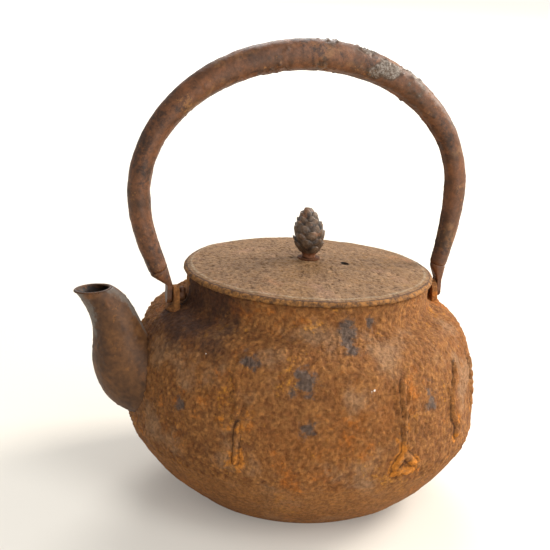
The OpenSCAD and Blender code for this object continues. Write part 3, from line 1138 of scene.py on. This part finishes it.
        # the base's edge and the rim stay true
        edges = smooth(z, 0.5, 4.0) * (1 - 0.85 * smooth(z, self.rim_z - 1.8, self.rim_z - 0.2))
        height = np.where(out, np.clip(height * edges, -1.3, 1.6) - 0.1, 0.15 * worn)
        broken = 0.85 + 0.9 * clouds(p, 5, 14, 3)
        spout_side = smooth(-angle, 95, 160) * (angle < 0)
        skin.marks = {
            "grain": np.clip(0.5 + 0.75 * sand + 0.12 * lumps, 0, 1) * out,
            "flare": near * broken * (0.35 + 0.65 * smooth(-z, -74, -46)) * out,
            # painted shade in the grooves beside the motifs' strokes
            "groove_and_painted_shade": groove_and_painted_shade,
            "bare": np.clip(self.marked(self.bare_spots, angle, z) * broken, 0, 1) * out,
            "lime": self.marked(self.lime_spots, angle, z) * out,
            "bowl": (1 - above) * out,
            # painted shadow: the shade mark darkens the upper wall on the spout's side
            "shade": spout_side * smooth(z, 60, 96) * out,
            # painted shade over the whole inside of the vessel
            "painted_hollow_shade": 1.0 - out,
        }
        skin.raise_by(height)

    def build(self) -> list[Object]:
        """Builds the shell and both lugs.

        Returns:
            The pieces.
        """
        section, outside = self.section()
        skin = Skin(revolve(section, self.sides))
        out = (np.arange(len(section)) < outside)[:, None]
        self.weather(skin, np.broadcast_to(out, skin.rings.shape[:2]))
        shell = skin.piece("vessel_shell")
        hole = (-(self.waist_r - self.wall / 2), 0, self.water_hole_z)
        bore(shell, hole, (1, 0, 0), self.water_hole_r, self.wall * 5)
        iron = SAND_CAST_IRON.material()
        shell.data.materials.append(iron)
        return [shell, *(self.lug(side, iron) for side in Side)]

    def lug(self, side: Side, iron: Material) -> Object:
        """Builds one lug, run into the shoulder by a low skirt of metal.

        Args:
            side: Which end of the bail's axis.
            iron: The shell's finish.

        Returns:
            The piece.
        """
        node = side.name.lower() + "_lug"
        low, high = node_box(node)
        foot = np.array([(low[0] + high[0]) / 2, 0, self.shoulder_z - self.skirt_sink])
        skirt = ball(foot, np.array(self.skirt))
        piece = recast(node, "lug_" + side.name.lower(), [skirt], 0.34, 0.14)
        piece.data.materials.append(iron)
        return piece


# ------------------------------------------------------------------ spout


@dataclass
class Spout:
    """The trunk-shaped spout, hollow from the wall to the lip.

    Attributes:
        vessel: The vessel whose wall the spout stands on.
        lip_z: Height of the lip's front.
        mouth_w: Width of the mouth along the spout.
        mouth_across: Width of the mouth across the spout.
        root_z: Height of the root's middle.
        root_h: Height of the root.
        root_across: Width of the root.
        wall: Thickness at the root.
        lip: Thickness at the lip.
        rings: Rings from root to lip.
        sides: Points in each ring.
        reach: How far the lip stands out from the waist.
    """

    vessel: Vessel
    lip_z: float = 103
    mouth_w: float = 17.8
    mouth_across: float = 15.4
    root_z: float = 60
    root_h: float = 37
    root_across: float = 40
    wall: float = 2.6
    lip: float = 1.5
    rings: int = 130
    sides: int = 150
    reach: float = field(init=False)

    def __post_init__(self) -> None:
        """Takes the reach from the frame."""
        self.reach = -node_box("spout")[0][0] - self.vessel.waist_r

    def outline(self, u: np.ndarray) -> tuple[np.ndarray, np.ndarray]:
        """Points of the spout's front and back lines, with X outwards.

        Args:
            u: Where to read them, from 0 at the root to 1 at the lip.

        Returns:
            The front points and the back points.
        """
        r, lip_z = self.vessel.waist_r, self.lip_z
        foot, top = self.root_z - self.root_h / 2, self.root_z + self.root_h / 2
        tip = r + self.reach
        x, z = r + 0.67 * self.reach, self.root_z + 10
        low = bezier([[r - 7, foot], [r + 7, foot], [x, z - 15], [x, z]], 2 * u)
        high = bezier([[x, z], [x - 0.5, z + 10], [x - 1.4, lip_z - 13], [tip, lip_z]], 2 * u - 1)
        back_x = tip - self.mouth_w
        turns = [[r - 8, top], [r - 3, top + 9.5], [back_x - 8.4, lip_z - 2], [back_x, lip_z + 1.6]]
        return np.where((u < 0.5)[:, None], low, high), bezier(turns, u**1.75)

    def tube(self, u: np.ndarray, inset: np.ndarray) -> np.ndarray:
        """Rings of the spout, made smaller by an inset.

        Args:
            u: Place of each ring.
            inset: How much smaller each ring is.

        Returns:
            The rings.
        """
        front, back = self.outline(u)
        mid = (front + back) / 2
        run = front - back
        size = np.linalg.norm(run, axis=1)
        run = run / size[:, None]
        a = np.linspace(0, 2 * np.pi, self.sides, endpoint=False)
        high = (size / 2 - inset)[:, None] * np.cos(a)
        ease = u * u * (3 - 2 * u)
        half = (self.root_across + (self.mouth_across - self.root_across) * ease) / 2 - inset
        x = mid[:, 0][:, None] + high * run[:, 0][:, None]
        z = mid[:, 1][:, None] + high * run[:, 1][:, None]
        return np.stack([-x, half[:, None] * np.sin(a), z], -1)

    def walls(self) -> tuple[np.ndarray, int]:
        """Rings from the root up the outside, over the lip and down the channel.

        Returns:
            The rings, and how many of them are outside.
        """
        u = np.linspace(0, 1, self.rings)
        outer = self.tube(u, np.zeros(self.rings))
        # the lip is rounded over half its thickness on either side
        turn = np.linspace(0, np.pi, 7)[1:-1]
        lip = self.tube(np.repeat(1.0, len(turn)), self.lip / 2 * (1 - np.cos(turn)))
        lip[..., 2] += (self.lip / 2 * np.sin(turn))[:, None] - self.lip / 2
        down = u[::-1][::3]
        inner = self.tube(down, self.wall + (self.lip - self.wall) * down**3)
        outer[-1, :, 2] -= self.lip / 2
        inner[0, :, 2] -= self.lip / 2
        rings = np.concatenate([outer, lip, inner])
        # what would reach through the vessel's wall stays in the middle of the wall
        radius = np.hypot(rings[..., 0], rings[..., 1])
        least = self.vessel.wall_r(rings[..., 2]) - self.vessel.wall / 2
        rings[..., :2] *= np.maximum(1, least / radius)[..., None]
        return rings, len(outer)

    def build(self) -> Object:
        """Builds the spout.

        Returns:
            The piece.
        """
        p, outside = self.walls()
        skin = Skin(p)
        out = np.broadcast_to((np.arange(len(p)) < outside)[:, None], p.shape[:2])
        wave = clouds(p, 15, 41, 2) * 0.32
        fine = clouds(p, 1.6, 42, 2)
        pits = -smooth(0.28 - grains(p, 5.0, 43), 0, 0.2) * 0.25
        fade = smooth(self.lip_z - p[..., 2] + 2, 0.0, 4.0)
        upper = np.exp(-(((p[..., 1] + 3.5) / 4.5) ** 2)) * smooth(p[..., 2], 72, 88)
        skin.marks = {
            "grain": np.clip(0.5 + 0.4 * fine, 0, 1) * out,
            "patina": upper * out,
            # painted shade down the inside of the mouth, from the lip
            "painted_hollow_shade": (1.0 - out) * smooth(self.lip_z - p[..., 2], -2.0, 3.0),
        }
        skin.raise_by(np.where(out, wave + 0.06 * fine + pits - 0.05, 0.05 * fine) * fade)
        piece = skin.piece("spout_trunk", capped=False)
        piece.data.materials.append(SMOOTH_CAST_IRON.material())
        return piece


# ------------------------------------------------------------------ lid


@dataclass
class Lid:
    """The lid plate with its hidden flange and vent; the knob is built apart.

    Attributes:
        vessel: The vessel that the lid sits on.
        edge_t: Thickness of the lid's edge.
        bevel: Width of the bevel round the edge.
        flange_h: Depth of the flange.
        flange_t: Thickness of the flange.
        flange_gap: Gap between flange and mouth.
        boss_r: Radius of the flat crown under the knob.
        vent_r: Radius of the steam vent.
        vent_reach: Distance of the vent from the axis.
        vent_angle: Direction of the vent in degrees.
        step: Spacing of the points on top.
        sides: Points in each ring.
        radius: The lid's outer radius.
        crown_z: Height of the crown.
        edge_z: Height of the edge's upper side.
        mouth_r: Radius of the vessel's mouth.
    """

    vessel: Vessel
    edge_t: float = 3.4
    bevel: float = 4
    flange_h: float = 6
    flange_t: float = 2.8
    flange_gap: float = 0.8
    boss_r: float = 7.4
    vent_r: float = 2
    vent_reach: float = 18
    vent_angle: float = -30
    step: float = 0.62
    sides: int = 560
    radius: float = field(init=False)
    crown_z: float = field(init=False)
    edge_z: float = field(init=False)
    mouth_r: float = field(init=False)

    def __post_init__(self) -> None:
        """Takes the lid's overall sizes from the frame and the vessel."""
        low, high = node_box("lid_plate")
        self.radius = (high[1] - low[1]) / 2
        self.crown_z = high[2]
        self.edge_z = self.vessel.rim_z + self.edge_t
        self.mouth_r = self.vessel.collar_r - self.vessel.collar_wall

    def section(self) -> tuple[np.ndarray, int]:
        """The half section from the crown out, round the flange and back under the crown.

        Returns:
            The points, and how many of them are on top.
        """
        rim_z, edge_z, crown_z, r = self.vessel.rim_z, self.edge_z, self.crown_z, self.radius
        shoulder = [0.75 * r, edge_z + 0.25 * (crown_z - edge_z)]
        sweep = [[self.boss_r, crown_z], [0.45 * r, crown_z], shoulder, [r - self.bevel, edge_z]]
        dome = bezier(sweep, np.linspace(0, 1, 40))
        bevel = np.array([[r - 3.4, edge_z - 0.05], [r - 2.4, edge_z - 0.45]])
        edge = arc((r - 2.0, edge_z - 2.6), 2.0, 72, 0, 7)
        foot = arc((r - 1, rim_z + 1), 1.0, 0, -90, 4)
        top = evenly(np.r_[[[0.6, crown_z]], dome, bevel, edge, foot], self.step)
        flange_r = self.mouth_r - self.flange_gap
        inner_r = flange_r - self.flange_t
        bottom = rim_z - self.flange_h
        flange = np.array([
            [flange_r, rim_z], [flange_r, bottom + 0.6], [flange_r - 0.6, bottom],
            [inner_r + 0.6, bottom], [inner_r, bottom + 0.6], [inner_r, rim_z - 0.6],
            [inner_r - 1, rim_z + 0.2],
        ])
        below = dome[dome[:, 0] < inner_r - 2][::-1] - [0, self.edge_t]
        under = np.r_[flange, below, [[0.6, crown_z - self.edge_t]]]
        return np.r_[top, evenly(under, 1.6)], len(top)

    def build(self) -> Object:
        """Builds the lid plate.

        Returns:
            The piece.
        """
        section, on_top = self.section()
        skin = Skin(revolve(section[::-1], self.sides))
        p = skin.rings
        radius = np.hypot(p[..., 0], p[..., 1])
        top = np.broadcast_to((np.arange(len(section))[::-1] < on_top)[:, None], radius.shape)
        rim = smooth(radius, self.radius - self.bevel - 1.2, self.radius - self.bevel + 0.8)
        drop = self.edge_z - p[..., 2]
        side = smooth(radius, self.radius - 3.0, self.radius - 2.0) * smooth(drop, 0.3, 1.0)
        # painted highlight along the arris at the bevel's top
        painted_arris_highlight = np.exp(-(((radius - self.radius + 3.6) / 1.2) ** 2)) * smooth(-drop, -0.9, -0.3)
        fine = clouds(p, 1.7, 51, 2)
        pits = -smooth(0.45 - grains(p, 2.0, 52), 0.0, 0.3)
        dents = -smooth(0.34 - grains(p, 8.0, 53), 0.0, 0.26) * 0.35
        wave = clouds(p, 22, 54, 2) * 0.28 + clouds(p, 6, 55, 2) * 0.12
        height = wave + (1 - 0.7 * rim) * (0.16 * fine + 0.42 * pits + dents) + 0.04
        skin.marks = {
            "grain": np.clip(0.66 + 0.32 * fine + 0.75 * pits, 0, 1) * top,
            "edge": side * top,
            "painted_arris_highlight": painted_arris_highlight * top,
            "painted_hollow_shade": np.zeros(radius.shape),
        }
        skin.raise_by(np.where(top, height, 0.1 * fine * (radius < self.mouth_r - 5)))
        piece = skin.piece("lid_disc")
        turn, reach = math.radians(self.vent_angle), self.vent_reach
        centre = (reach * math.cos(turn), reach * math.sin(turn), self.crown_z - 2)
        bore(piece, centre, (0, 0, 1), self.vent_r, 14)
        piece.data.materials.append(FINE_CAST_IRON.material())
        return piece


@dataclass
class PineCone:
    """The knob: a cone of overlapping scales on a neck, riveted through the lid.

    Attributes:
        turns: Angle in degrees from one scale to the next.
        scales: How many scales.
        core_share: Width of the core under the scales, as a share of the knob's.
        lean: How far the top leans towards the spout, in millimetres.
        neck_r: Radius of the neck.
        tang_r: Radius of the tang.
        voxel: Grid that the scales are welded on, in millimetres.
        radius: The cone's largest radius.
        foot_z: Height of the seat's upper side.
        top_z: Height of the knob's top.
        tang_z: Height of the riveted head's lower side.
    """

    turns: float = 137.508
    scales: int = 46
    core_share: float = 0.82
    lean: float = 1.6
    neck_r: float = 3.2
    tang_r: float = 2.0
    voxel: float = 0.24
    radius: float = field(init=False)
    foot_z: float = field(init=False)
    top_z: float = field(init=False)
    tang_z: float = field(init=False)

    def __post_init__(self) -> None:
        """Takes the knob's place from the frame."""
        low, high = node_box("knob")
        self.foot_z = node_box("knob_seat")[1][2]
        self.top_z = high[2]
        self.radius = (high[1] - low[1]) / 2
        self.tang_z = low[2]

    def girth(self, v: np.ndarray) -> np.ndarray:
        """Radius of the cone at v, from 0 at the foot to 1 at the top."""
        v = np.clip(v, 0, 1)
        return self.radius * np.sin(np.pi * v**0.85) ** 0.6

    def scale(self, v: float, angle: float) -> np.ndarray:
        """One scale: a rounded, hollow-backed shield whose tip points up and out.

        Args:
            v: Height of its root on the cone, from 0 to 1.
            angle: Its direction in degrees.

        Returns:
            Rings of points in millimetres.
        """
        height = self.top_z - self.foot_z
        chance = scatter(np.array([round(v * 997), round(angle), 3]), 91)
        size = (0.6 + 0.62 * math.sin(math.pi * min(v + 0.12, 0.94))) * (0.86 + 0.32 * chance)
        length, half = 4.9 * size, 2.75 * size
        along = np.linspace(0, 1, 9)
        a = np.linspace(0, 2 * np.pi, 14, endpoint=False)
        width = half * np.sin(np.pi * (0.1 + 0.84 * along)) ** 0.7
        thick = 0.62 * size * (0.55 + 0.6 * np.sin(np.pi * along))
        root = self.core_share * float(self.girth(np.array([v]))[0])
        reach = float(self.girth(np.array([v + 0.8 * length / height]))[0])
        out = root - 0.5 + (max(reach, 0.25) - root + 0.4) * along**0.9
        side = width[:, None] * np.cos(a)
        # the shield's sides fall away round the cone, and a keel runs up its middle
        keel = 0.22 * size * np.exp(-((side / (0.25 * half)) ** 2)) * along[:, None]
        x = out[:, None] + thick[:, None] * np.sin(a) + keel - 0.09 * side**2
        z = self.foot_z + v * height + (length * along)[:, None] - 0.12 * x
        rings = np.stack([x, side, z], -1)
        c, s = math.cos(math.radians(angle)), math.sin(math.radians(angle))
        return rings @ np.array([[c, s, 0], [-s, c, 0], [0, 0, 1]])

    def build(self) -> Object:
        """Builds the knob: scales on a core, welded into one casting that leans a little.

        Returns:
            The piece.
        """
        v = np.linspace(0.0, 0.97, 40)
        core_z = self.foot_z + v * (self.top_z - self.foot_z)
        core = np.c_[np.maximum(self.core_share * self.girth(v), 0.5), core_z]
        core[v < 0.4, 0] = np.maximum(core[v < 0.4, 0], self.neck_r)
        shells = [revolve(core, 48)]
        for n in range(self.scales):
            v_n = 0.05 + 0.84 * (n / (self.scales - 1)) ** 0.92
            stray = scatter(np.array([n, 5, 2]), 92) - 0.5
            shells.append(self.scale(v_n + 0.02 * stray, n * self.turns + 16 * stray))
        tang = np.array([
            [self.tang_r + 1.3, self.tang_z + 0.2], [self.tang_r + 1.4, self.tang_z + 1.2],
            [self.tang_r, self.tang_z + 1.4], [self.tang_r, self.foot_z + 2],
        ])
        shells.append(revolve(tang, 32))
        parts = [Skin(rings).piece("shell") for rings in shells]
        whole = merged("pine_cone_knob", [part.data for part in parts])
        for part in parts:
            bpy.data.objects.remove(part)
        piece = as_object(whole, "pine_cone_knob")
        weld(piece, self.voxel, 5)
        self.finish(piece.data)
        return piece

    def finish(self, mesh: Mesh) -> None:
        """Leans the welded cone, roughens it, and dresses it.

        Args:
            mesh: The cone's mesh.
        """
        points = points_of(mesh)
        rise = np.clip((points[:, 2] - self.foot_z) / (self.top_z - self.foot_z), 0, 1)
        proud = np.hypot(points[:, 0], points[:, 1]) / np.maximum(self.girth(rise), 1.0)
        points[:, 0] -= self.lean * rise**1.5
        points[:, 2] = np.minimum(points[:, 2], self.top_z)
        points += (clouds(points, 1.6, 61, 2) * 0.13)[:, None]
        move_points(mesh, points)
        # the grain mark here is how far a point stands out, so the hollows between the scales get
        # painted shade and the outer faces a painted highlight
        add_mark(mesh, "grain", smooth(proud, 0.8, 1.12))
        add_mark(mesh, "neck", 1 - smooth(rise, 0.03, 0.2))
        mesh.shade_smooth()
        mesh.materials.append(DARK_CAST_IRON.material())


# ------------------------------------------------------------------ bail


@dataclass
class Bail:
    """The hollow bail and its forged hooks.

    Attributes:
        spring_z: Height at which the legs run into the arch.
        arch_shift: How far the arch is set towards the spout.
        leg_r: Tube radius where the legs run into the arch.
        front_end_r: Tube radius at its front end.
        rear_end_r: Tube radius at its rear end.
        strap_mid: Distance of a hook's strap from the kettle's axis.
        front_step: How far the front end stands outside its strap.
        rear_step: How far the rear end stands inside its strap.
        end_z: Height of the tube's ends.
        step: Spacing of the rings.
        sides: Points in each ring.
        grip_r: Tube radius at the top.
        top_z: Height of the tube's middle at the top.
        arch_r: Half width of the arch, between the tube's middles.
    """

    spring_z: float = 150
    arch_shift: float = 5.4
    leg_r: float = 5.1
    front_end_r: float = 4.4
    rear_end_r: float = 3.9
    strap_mid: float = 68.3
    front_step: float = 5.2
    rear_step: float = 0.4
    end_z: float = 111.8
    step: float = 0.7
    sides: int = 72
    grip_r: float = field(init=False)
    top_z: float = field(init=False)
    arch_r: float = field(init=False)

    def __post_init__(self) -> None:
        """Takes the arch's overall sizes from the frame."""
        low, high = node_box("bail_tube")
        self.grip_r = (high[1] - low[1]) / 2
        self.top_z = high[2] - self.grip_r
        self.arch_r = (high[0] - low[0]) / 2 - self.leg_r

    def stations(self) -> np.ndarray:
        """Where the bail runs, from its front end to its rear end.

        Returns:
            X, Z and the tube's radius at each station.
        """
        legs = {}
        for side in Side:
            offset = self.front_step if side is Side.FRONT else -self.rear_step
            low = self.strap_mid + offset
            high = self.arch_r - side.value * self.arch_shift
            rise = self.spring_z - self.end_z
            bend = [low + 0.35 * (high - low), self.end_z + 0.22 * rise]
            upright = [[high, self.spring_z - 0.4 * rise], [high, self.spring_z]]
            t = np.linspace(0, 1, 40)[:-1]
            line = bezier([[low, self.end_z], bend, *upright], t)
            end_r = self.front_end_r if side is Side.FRONT else self.rear_end_r
            radius = end_r + (self.leg_r - end_r) * t * t * (3 - 2 * t)
            legs[side] = np.c_[side.value * line[:, 0], line[:, 1], radius]
        a = np.linspace(0, np.pi, 140)
        arch = np.c_[
            -self.arch_shift - self.arch_r * np.cos(a),
            self.spring_z + (self.top_z - self.spring_z) * np.sin(a),
            self.leg_r + (self.grip_r - self.leg_r) * np.sin(a) ** 2,
        ]
        return evenly(np.r_[legs[Side.FRONT], arch, legs[Side.REAR][::-1]], self.step)

    def tube(self) -> Skin:
        """The hammered, pitted and worn tube.

        Returns:
            Its skin.
        """
        line = self.stations()
        run = np.gradient(line[:, :2], axis=0)
        run = (run / np.linalg.norm(run, axis=1)[:, None])[..., None]
        a = np.linspace(0, 2 * np.pi, self.sides, endpoint=False)
        # the last rings at either end draw in, where the tube was dressed down on the hook
        x, z, radius = (line[:, n].copy()[:, None] for n in range(3))
        for n, share in enumerate((0.9, 0.965, 0.99)):
            radius[n] *= share
            radius[-1 - n] *= share
        across = radius * np.cos(a)
        p = np.stack([x - across * run[:, 1], radius * np.sin(a), z + across * run[:, 0]], -1)
        skin = Skin(p)
        # the rolled sheet's edges meet on the inner side
        length = np.broadcast_to((np.arange(len(line)) * self.step)[:, None], p.shape[:2])
        inner = np.degrees(np.abs(a % (2 * np.pi) - np.pi))[None, :]
        seam_at = 4.0 * clouds(np.stack([length, 0 * length, 0 * length], -1), 25, 71, 2)
        seam = -0.4 * np.exp(-(((inner - 4 - seam_at) / 4.5) ** 2))
        blows = (grains(p, 7.5, 72) - 0.5) * 0.32
        top = smooth(p[..., 2], 172, 204)
        patchy = smooth(clouds(p, 11, 74, 3), -0.15, 0.55)
        pits = -smooth(0.36 - grains(p, 3.2, 73), 0.0, 0.2) * patchy
        flakes = smooth(clouds(p, 5.0, 75, 3), -0.1, 0.25) * 0.42
        fine = clouds(p, 1.8, 76, 2)
        most = 0.2 + 0.8 * top
        skin.marks = {
            "grain": np.clip(0.5 + 0.35 * fine + 0.6 * pits + 0.4 * blows, 0, 1),
            # the worn top, stronger towards the lit right side; its pale flecks are partly painted
            # glints
            "worn": np.clip(top * patchy * (0.45 + 0.55 * smooth(p[..., 0], -40, 40)), 0, 1),
        }
        worn_top = flakes * (0.2 + 0.8 * top * patchy) + 0.8 * pits * most
        skin.raise_by(blows + seam + worn_top + 0.06 * fine - 0.12)
        return skin

    def build(self) -> list[Object]:
        """Builds the tube and both hooks.

        Returns:
            The pieces.
        """
        tube = self.tube().piece("bail_tube_forged")
        iron = WROUGHT_IRON.material()
        tube.data.materials.append(iron)
        hooks = []
        for side in Side:
            name = side.name.lower()
            hook = recast(name + "_hook", "hook_" + name, [], 0.3, 0.06)
            hook.data.materials.append(iron)
            hooks.append(hook)
        return [tube, *hooks]


# ------------------------------------------------------------------ studio


@dataclass(frozen=True)
class Studio:
    """A pale table and soft light, with the camera that looks at the kettle.

    Attributes:
        half: Half the floor's width in metres.
        eye: The camera's place in metres.
        right: The camera's own right.
        up: The camera's own up.
        back: The camera's own backward direction.
        lens: Focal length in millimetres on a 36 mm sensor.
    """

    half: float = 6.0
    eye: tuple[float, float, float] = (-0.1895, -0.5832, 0.2748)
    right: tuple[float, float, float] = (0.9614, -0.2700, 0.0537)
    up: tuple[float, float, float] = (0.0218, 0.2689, 0.9629)
    back: tuple[float, float, float] = (-0.2744, -0.9245, 0.2644)
    lens: float = 85.58

    def camera(self) -> None:
        """Sets up the camera."""
        data = bpy.data.cameras.new("camera")
        data.sensor_width = 36
        data.lens = self.lens
        data.clip_start = 0.01
        camera = bpy.data.objects.new("camera", data)
        turn = Matrix((self.right, self.up, self.back)).transposed().to_4x4()
        camera.matrix_world = Matrix.Translation(self.eye) @ turn
        bpy.context.scene.collection.objects.link(camera)
        bpy.context.scene.camera = camera

    def table(self) -> None:
        """Lays a pale floor that glows, more in the distance: painted light, which also lights the
        kettle from below and lifts its shadow.
        """
        mesh = bpy.data.meshes.new("floor")
        signs = ((-1, -1), (1, -1), (1, 1), (-1, 1))
        mesh.from_pydata([(self.half * x, self.half * y, 0) for x, y in signs], [], [(0, 1, 2, 3)])
        floor = bpy.data.objects.new("floor", mesh)
        bpy.context.scene.collection.objects.link(floor)
        paper = bpy.data.materials.new("glowing_white_paper")
        paper.use_nodes = True
        shader = paper.node_tree.nodes["Principled BSDF"]
        shader.inputs["Base Color"].default_value = linear("#c2bdb3")
        shader.inputs["Roughness"].default_value = 0.9
        shader.inputs["Emission Color"].default_value = linear("#fbf6ee")
        # the paper glows more in the distance, so that it stays pale in every direction; the glow is
        # painted light, which also lights the kettle from below and lifts the shadow under it
        tree = paper.node_tree
        spot = add_node(tree, "TexCoord", {}).outputs["Object"]
        far = add_node(tree, "VectorMath", {"operation": "LENGTH"}, {0: spot})
        glow = {"From Min": 0.5, "From Max": 2.2, "To Min": 0.19, "To Max": 0.75}
        lit = add_node(tree, "MapRange", glow, {"Value": far.outputs["Value"]})
        tree.links.new(lit.outputs[0], shader.inputs["Emission Strength"])
        mesh.materials.append(paper)

    def lamp(self, name: str, place: tuple, size: float, power: float, colour: str) -> None:
        """Hangs a soft square lamp that faces the kettle.

        Args:
            name: The lamp's name.
            place: Where it hangs, in metres.
            size: Width in metres.
            power: Power in watts.
            colour: sRGB hex.
        """
        data = bpy.data.lights.new(name, "AREA")
        data.size = size
        data.energy = power
        data.color = linear(colour)[:3]
        lamp = bpy.data.objects.new(name, data)
        aim = Vector((0, 0, 0.08)) - Vector(place)
        lamp.rotation_euler = aim.to_track_quat("-Z", "Y").to_euler()
        lamp.location = place
        bpy.context.scene.collection.objects.link(lamp)

    def light(self) -> None:
        """Lights the kettle softly from the upper right and behind."""
        world = bpy.data.worlds.new("white_room")
        world.use_nodes = True
        sky = world.node_tree.nodes["Background"]
        sky.inputs["Color"].default_value = linear("#ffffff")
        sky.inputs["Strength"].default_value = 0.55
        bpy.context.scene.world = world
        self.lamp("window_right", (1.15, 0.15, 0.85), 0.6, 30, "#fff8ee")
        self.lamp("sky_front", (0.45, -1.0, 1.3), 0.9, 12, "#ffffff")
        self.lamp("low_front", (0.5, -1.1, 0.22), 0.7, 9, "#ffffff")
        self.lamp("far_room", (0.6, 2.4, 2.2), 1.6, 70, "#ffffff")
        bpy.context.scene.view_settings.view_transform = "Standard"


# ------------------------------------------------------------------ assembly


def place(piece: Object, body: str, slot: str, *nodes: str) -> None:
    """Fixes a piece to its body and hides the CAD nodes that it replaces.

    Args:
        piece: The piece.
        body: The body that it rides on.
        slot: A material slot's name; not used.
        nodes: CAD nodes that it replaces.
    """
    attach(piece, body)
    if nodes:
        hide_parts(*nodes)
    LOG.info("%s rides on %s, %d points", piece.name, body, len(piece.data.vertices))


def dress_small_parts() -> None:
    """Gives the seat and the washer, whose CAD shapes stay, their finishes."""
    for node, finish in (("knob_seat", SEAT_IRON), ("knob_washer", DARK_CAST_IRON)):
        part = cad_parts[node]
        part.data.materials.clear()
        part.data.materials.append(finish.material())
        LOG.info("%s keeps its CAD shape", node)


def main() -> None:
    """Builds, dresses and places every piece."""
    logging.basicConfig(level=logging.INFO, format="%(message)s")
    studio = Studio()
    studio.camera()
    studio.table()
    studio.light()
    vessel = Vessel()
    shell, *lugs = vessel.build()
    place(shell, "kettle", "vessel_iron", "body_shell")
    for lug, node in zip(lugs, ("front_lug", "rear_lug")):
        place(lug, "kettle", "vessel_iron", node)
    place(Spout(vessel).build(), "kettle", "spout_iron", "spout")
    place(Lid(vessel).build(), "lid", "lid_iron", "lid_plate")
    place(PineCone().build(), "lid", "knob_iron", "knob")
    for part, node in zip(Bail().build(), ("bail_tube", "front_hook", "rear_hook")):
        place(part, "bail", "bail_iron", node)
    dress_small_parts()


if __name__ == "__main__":
    main()
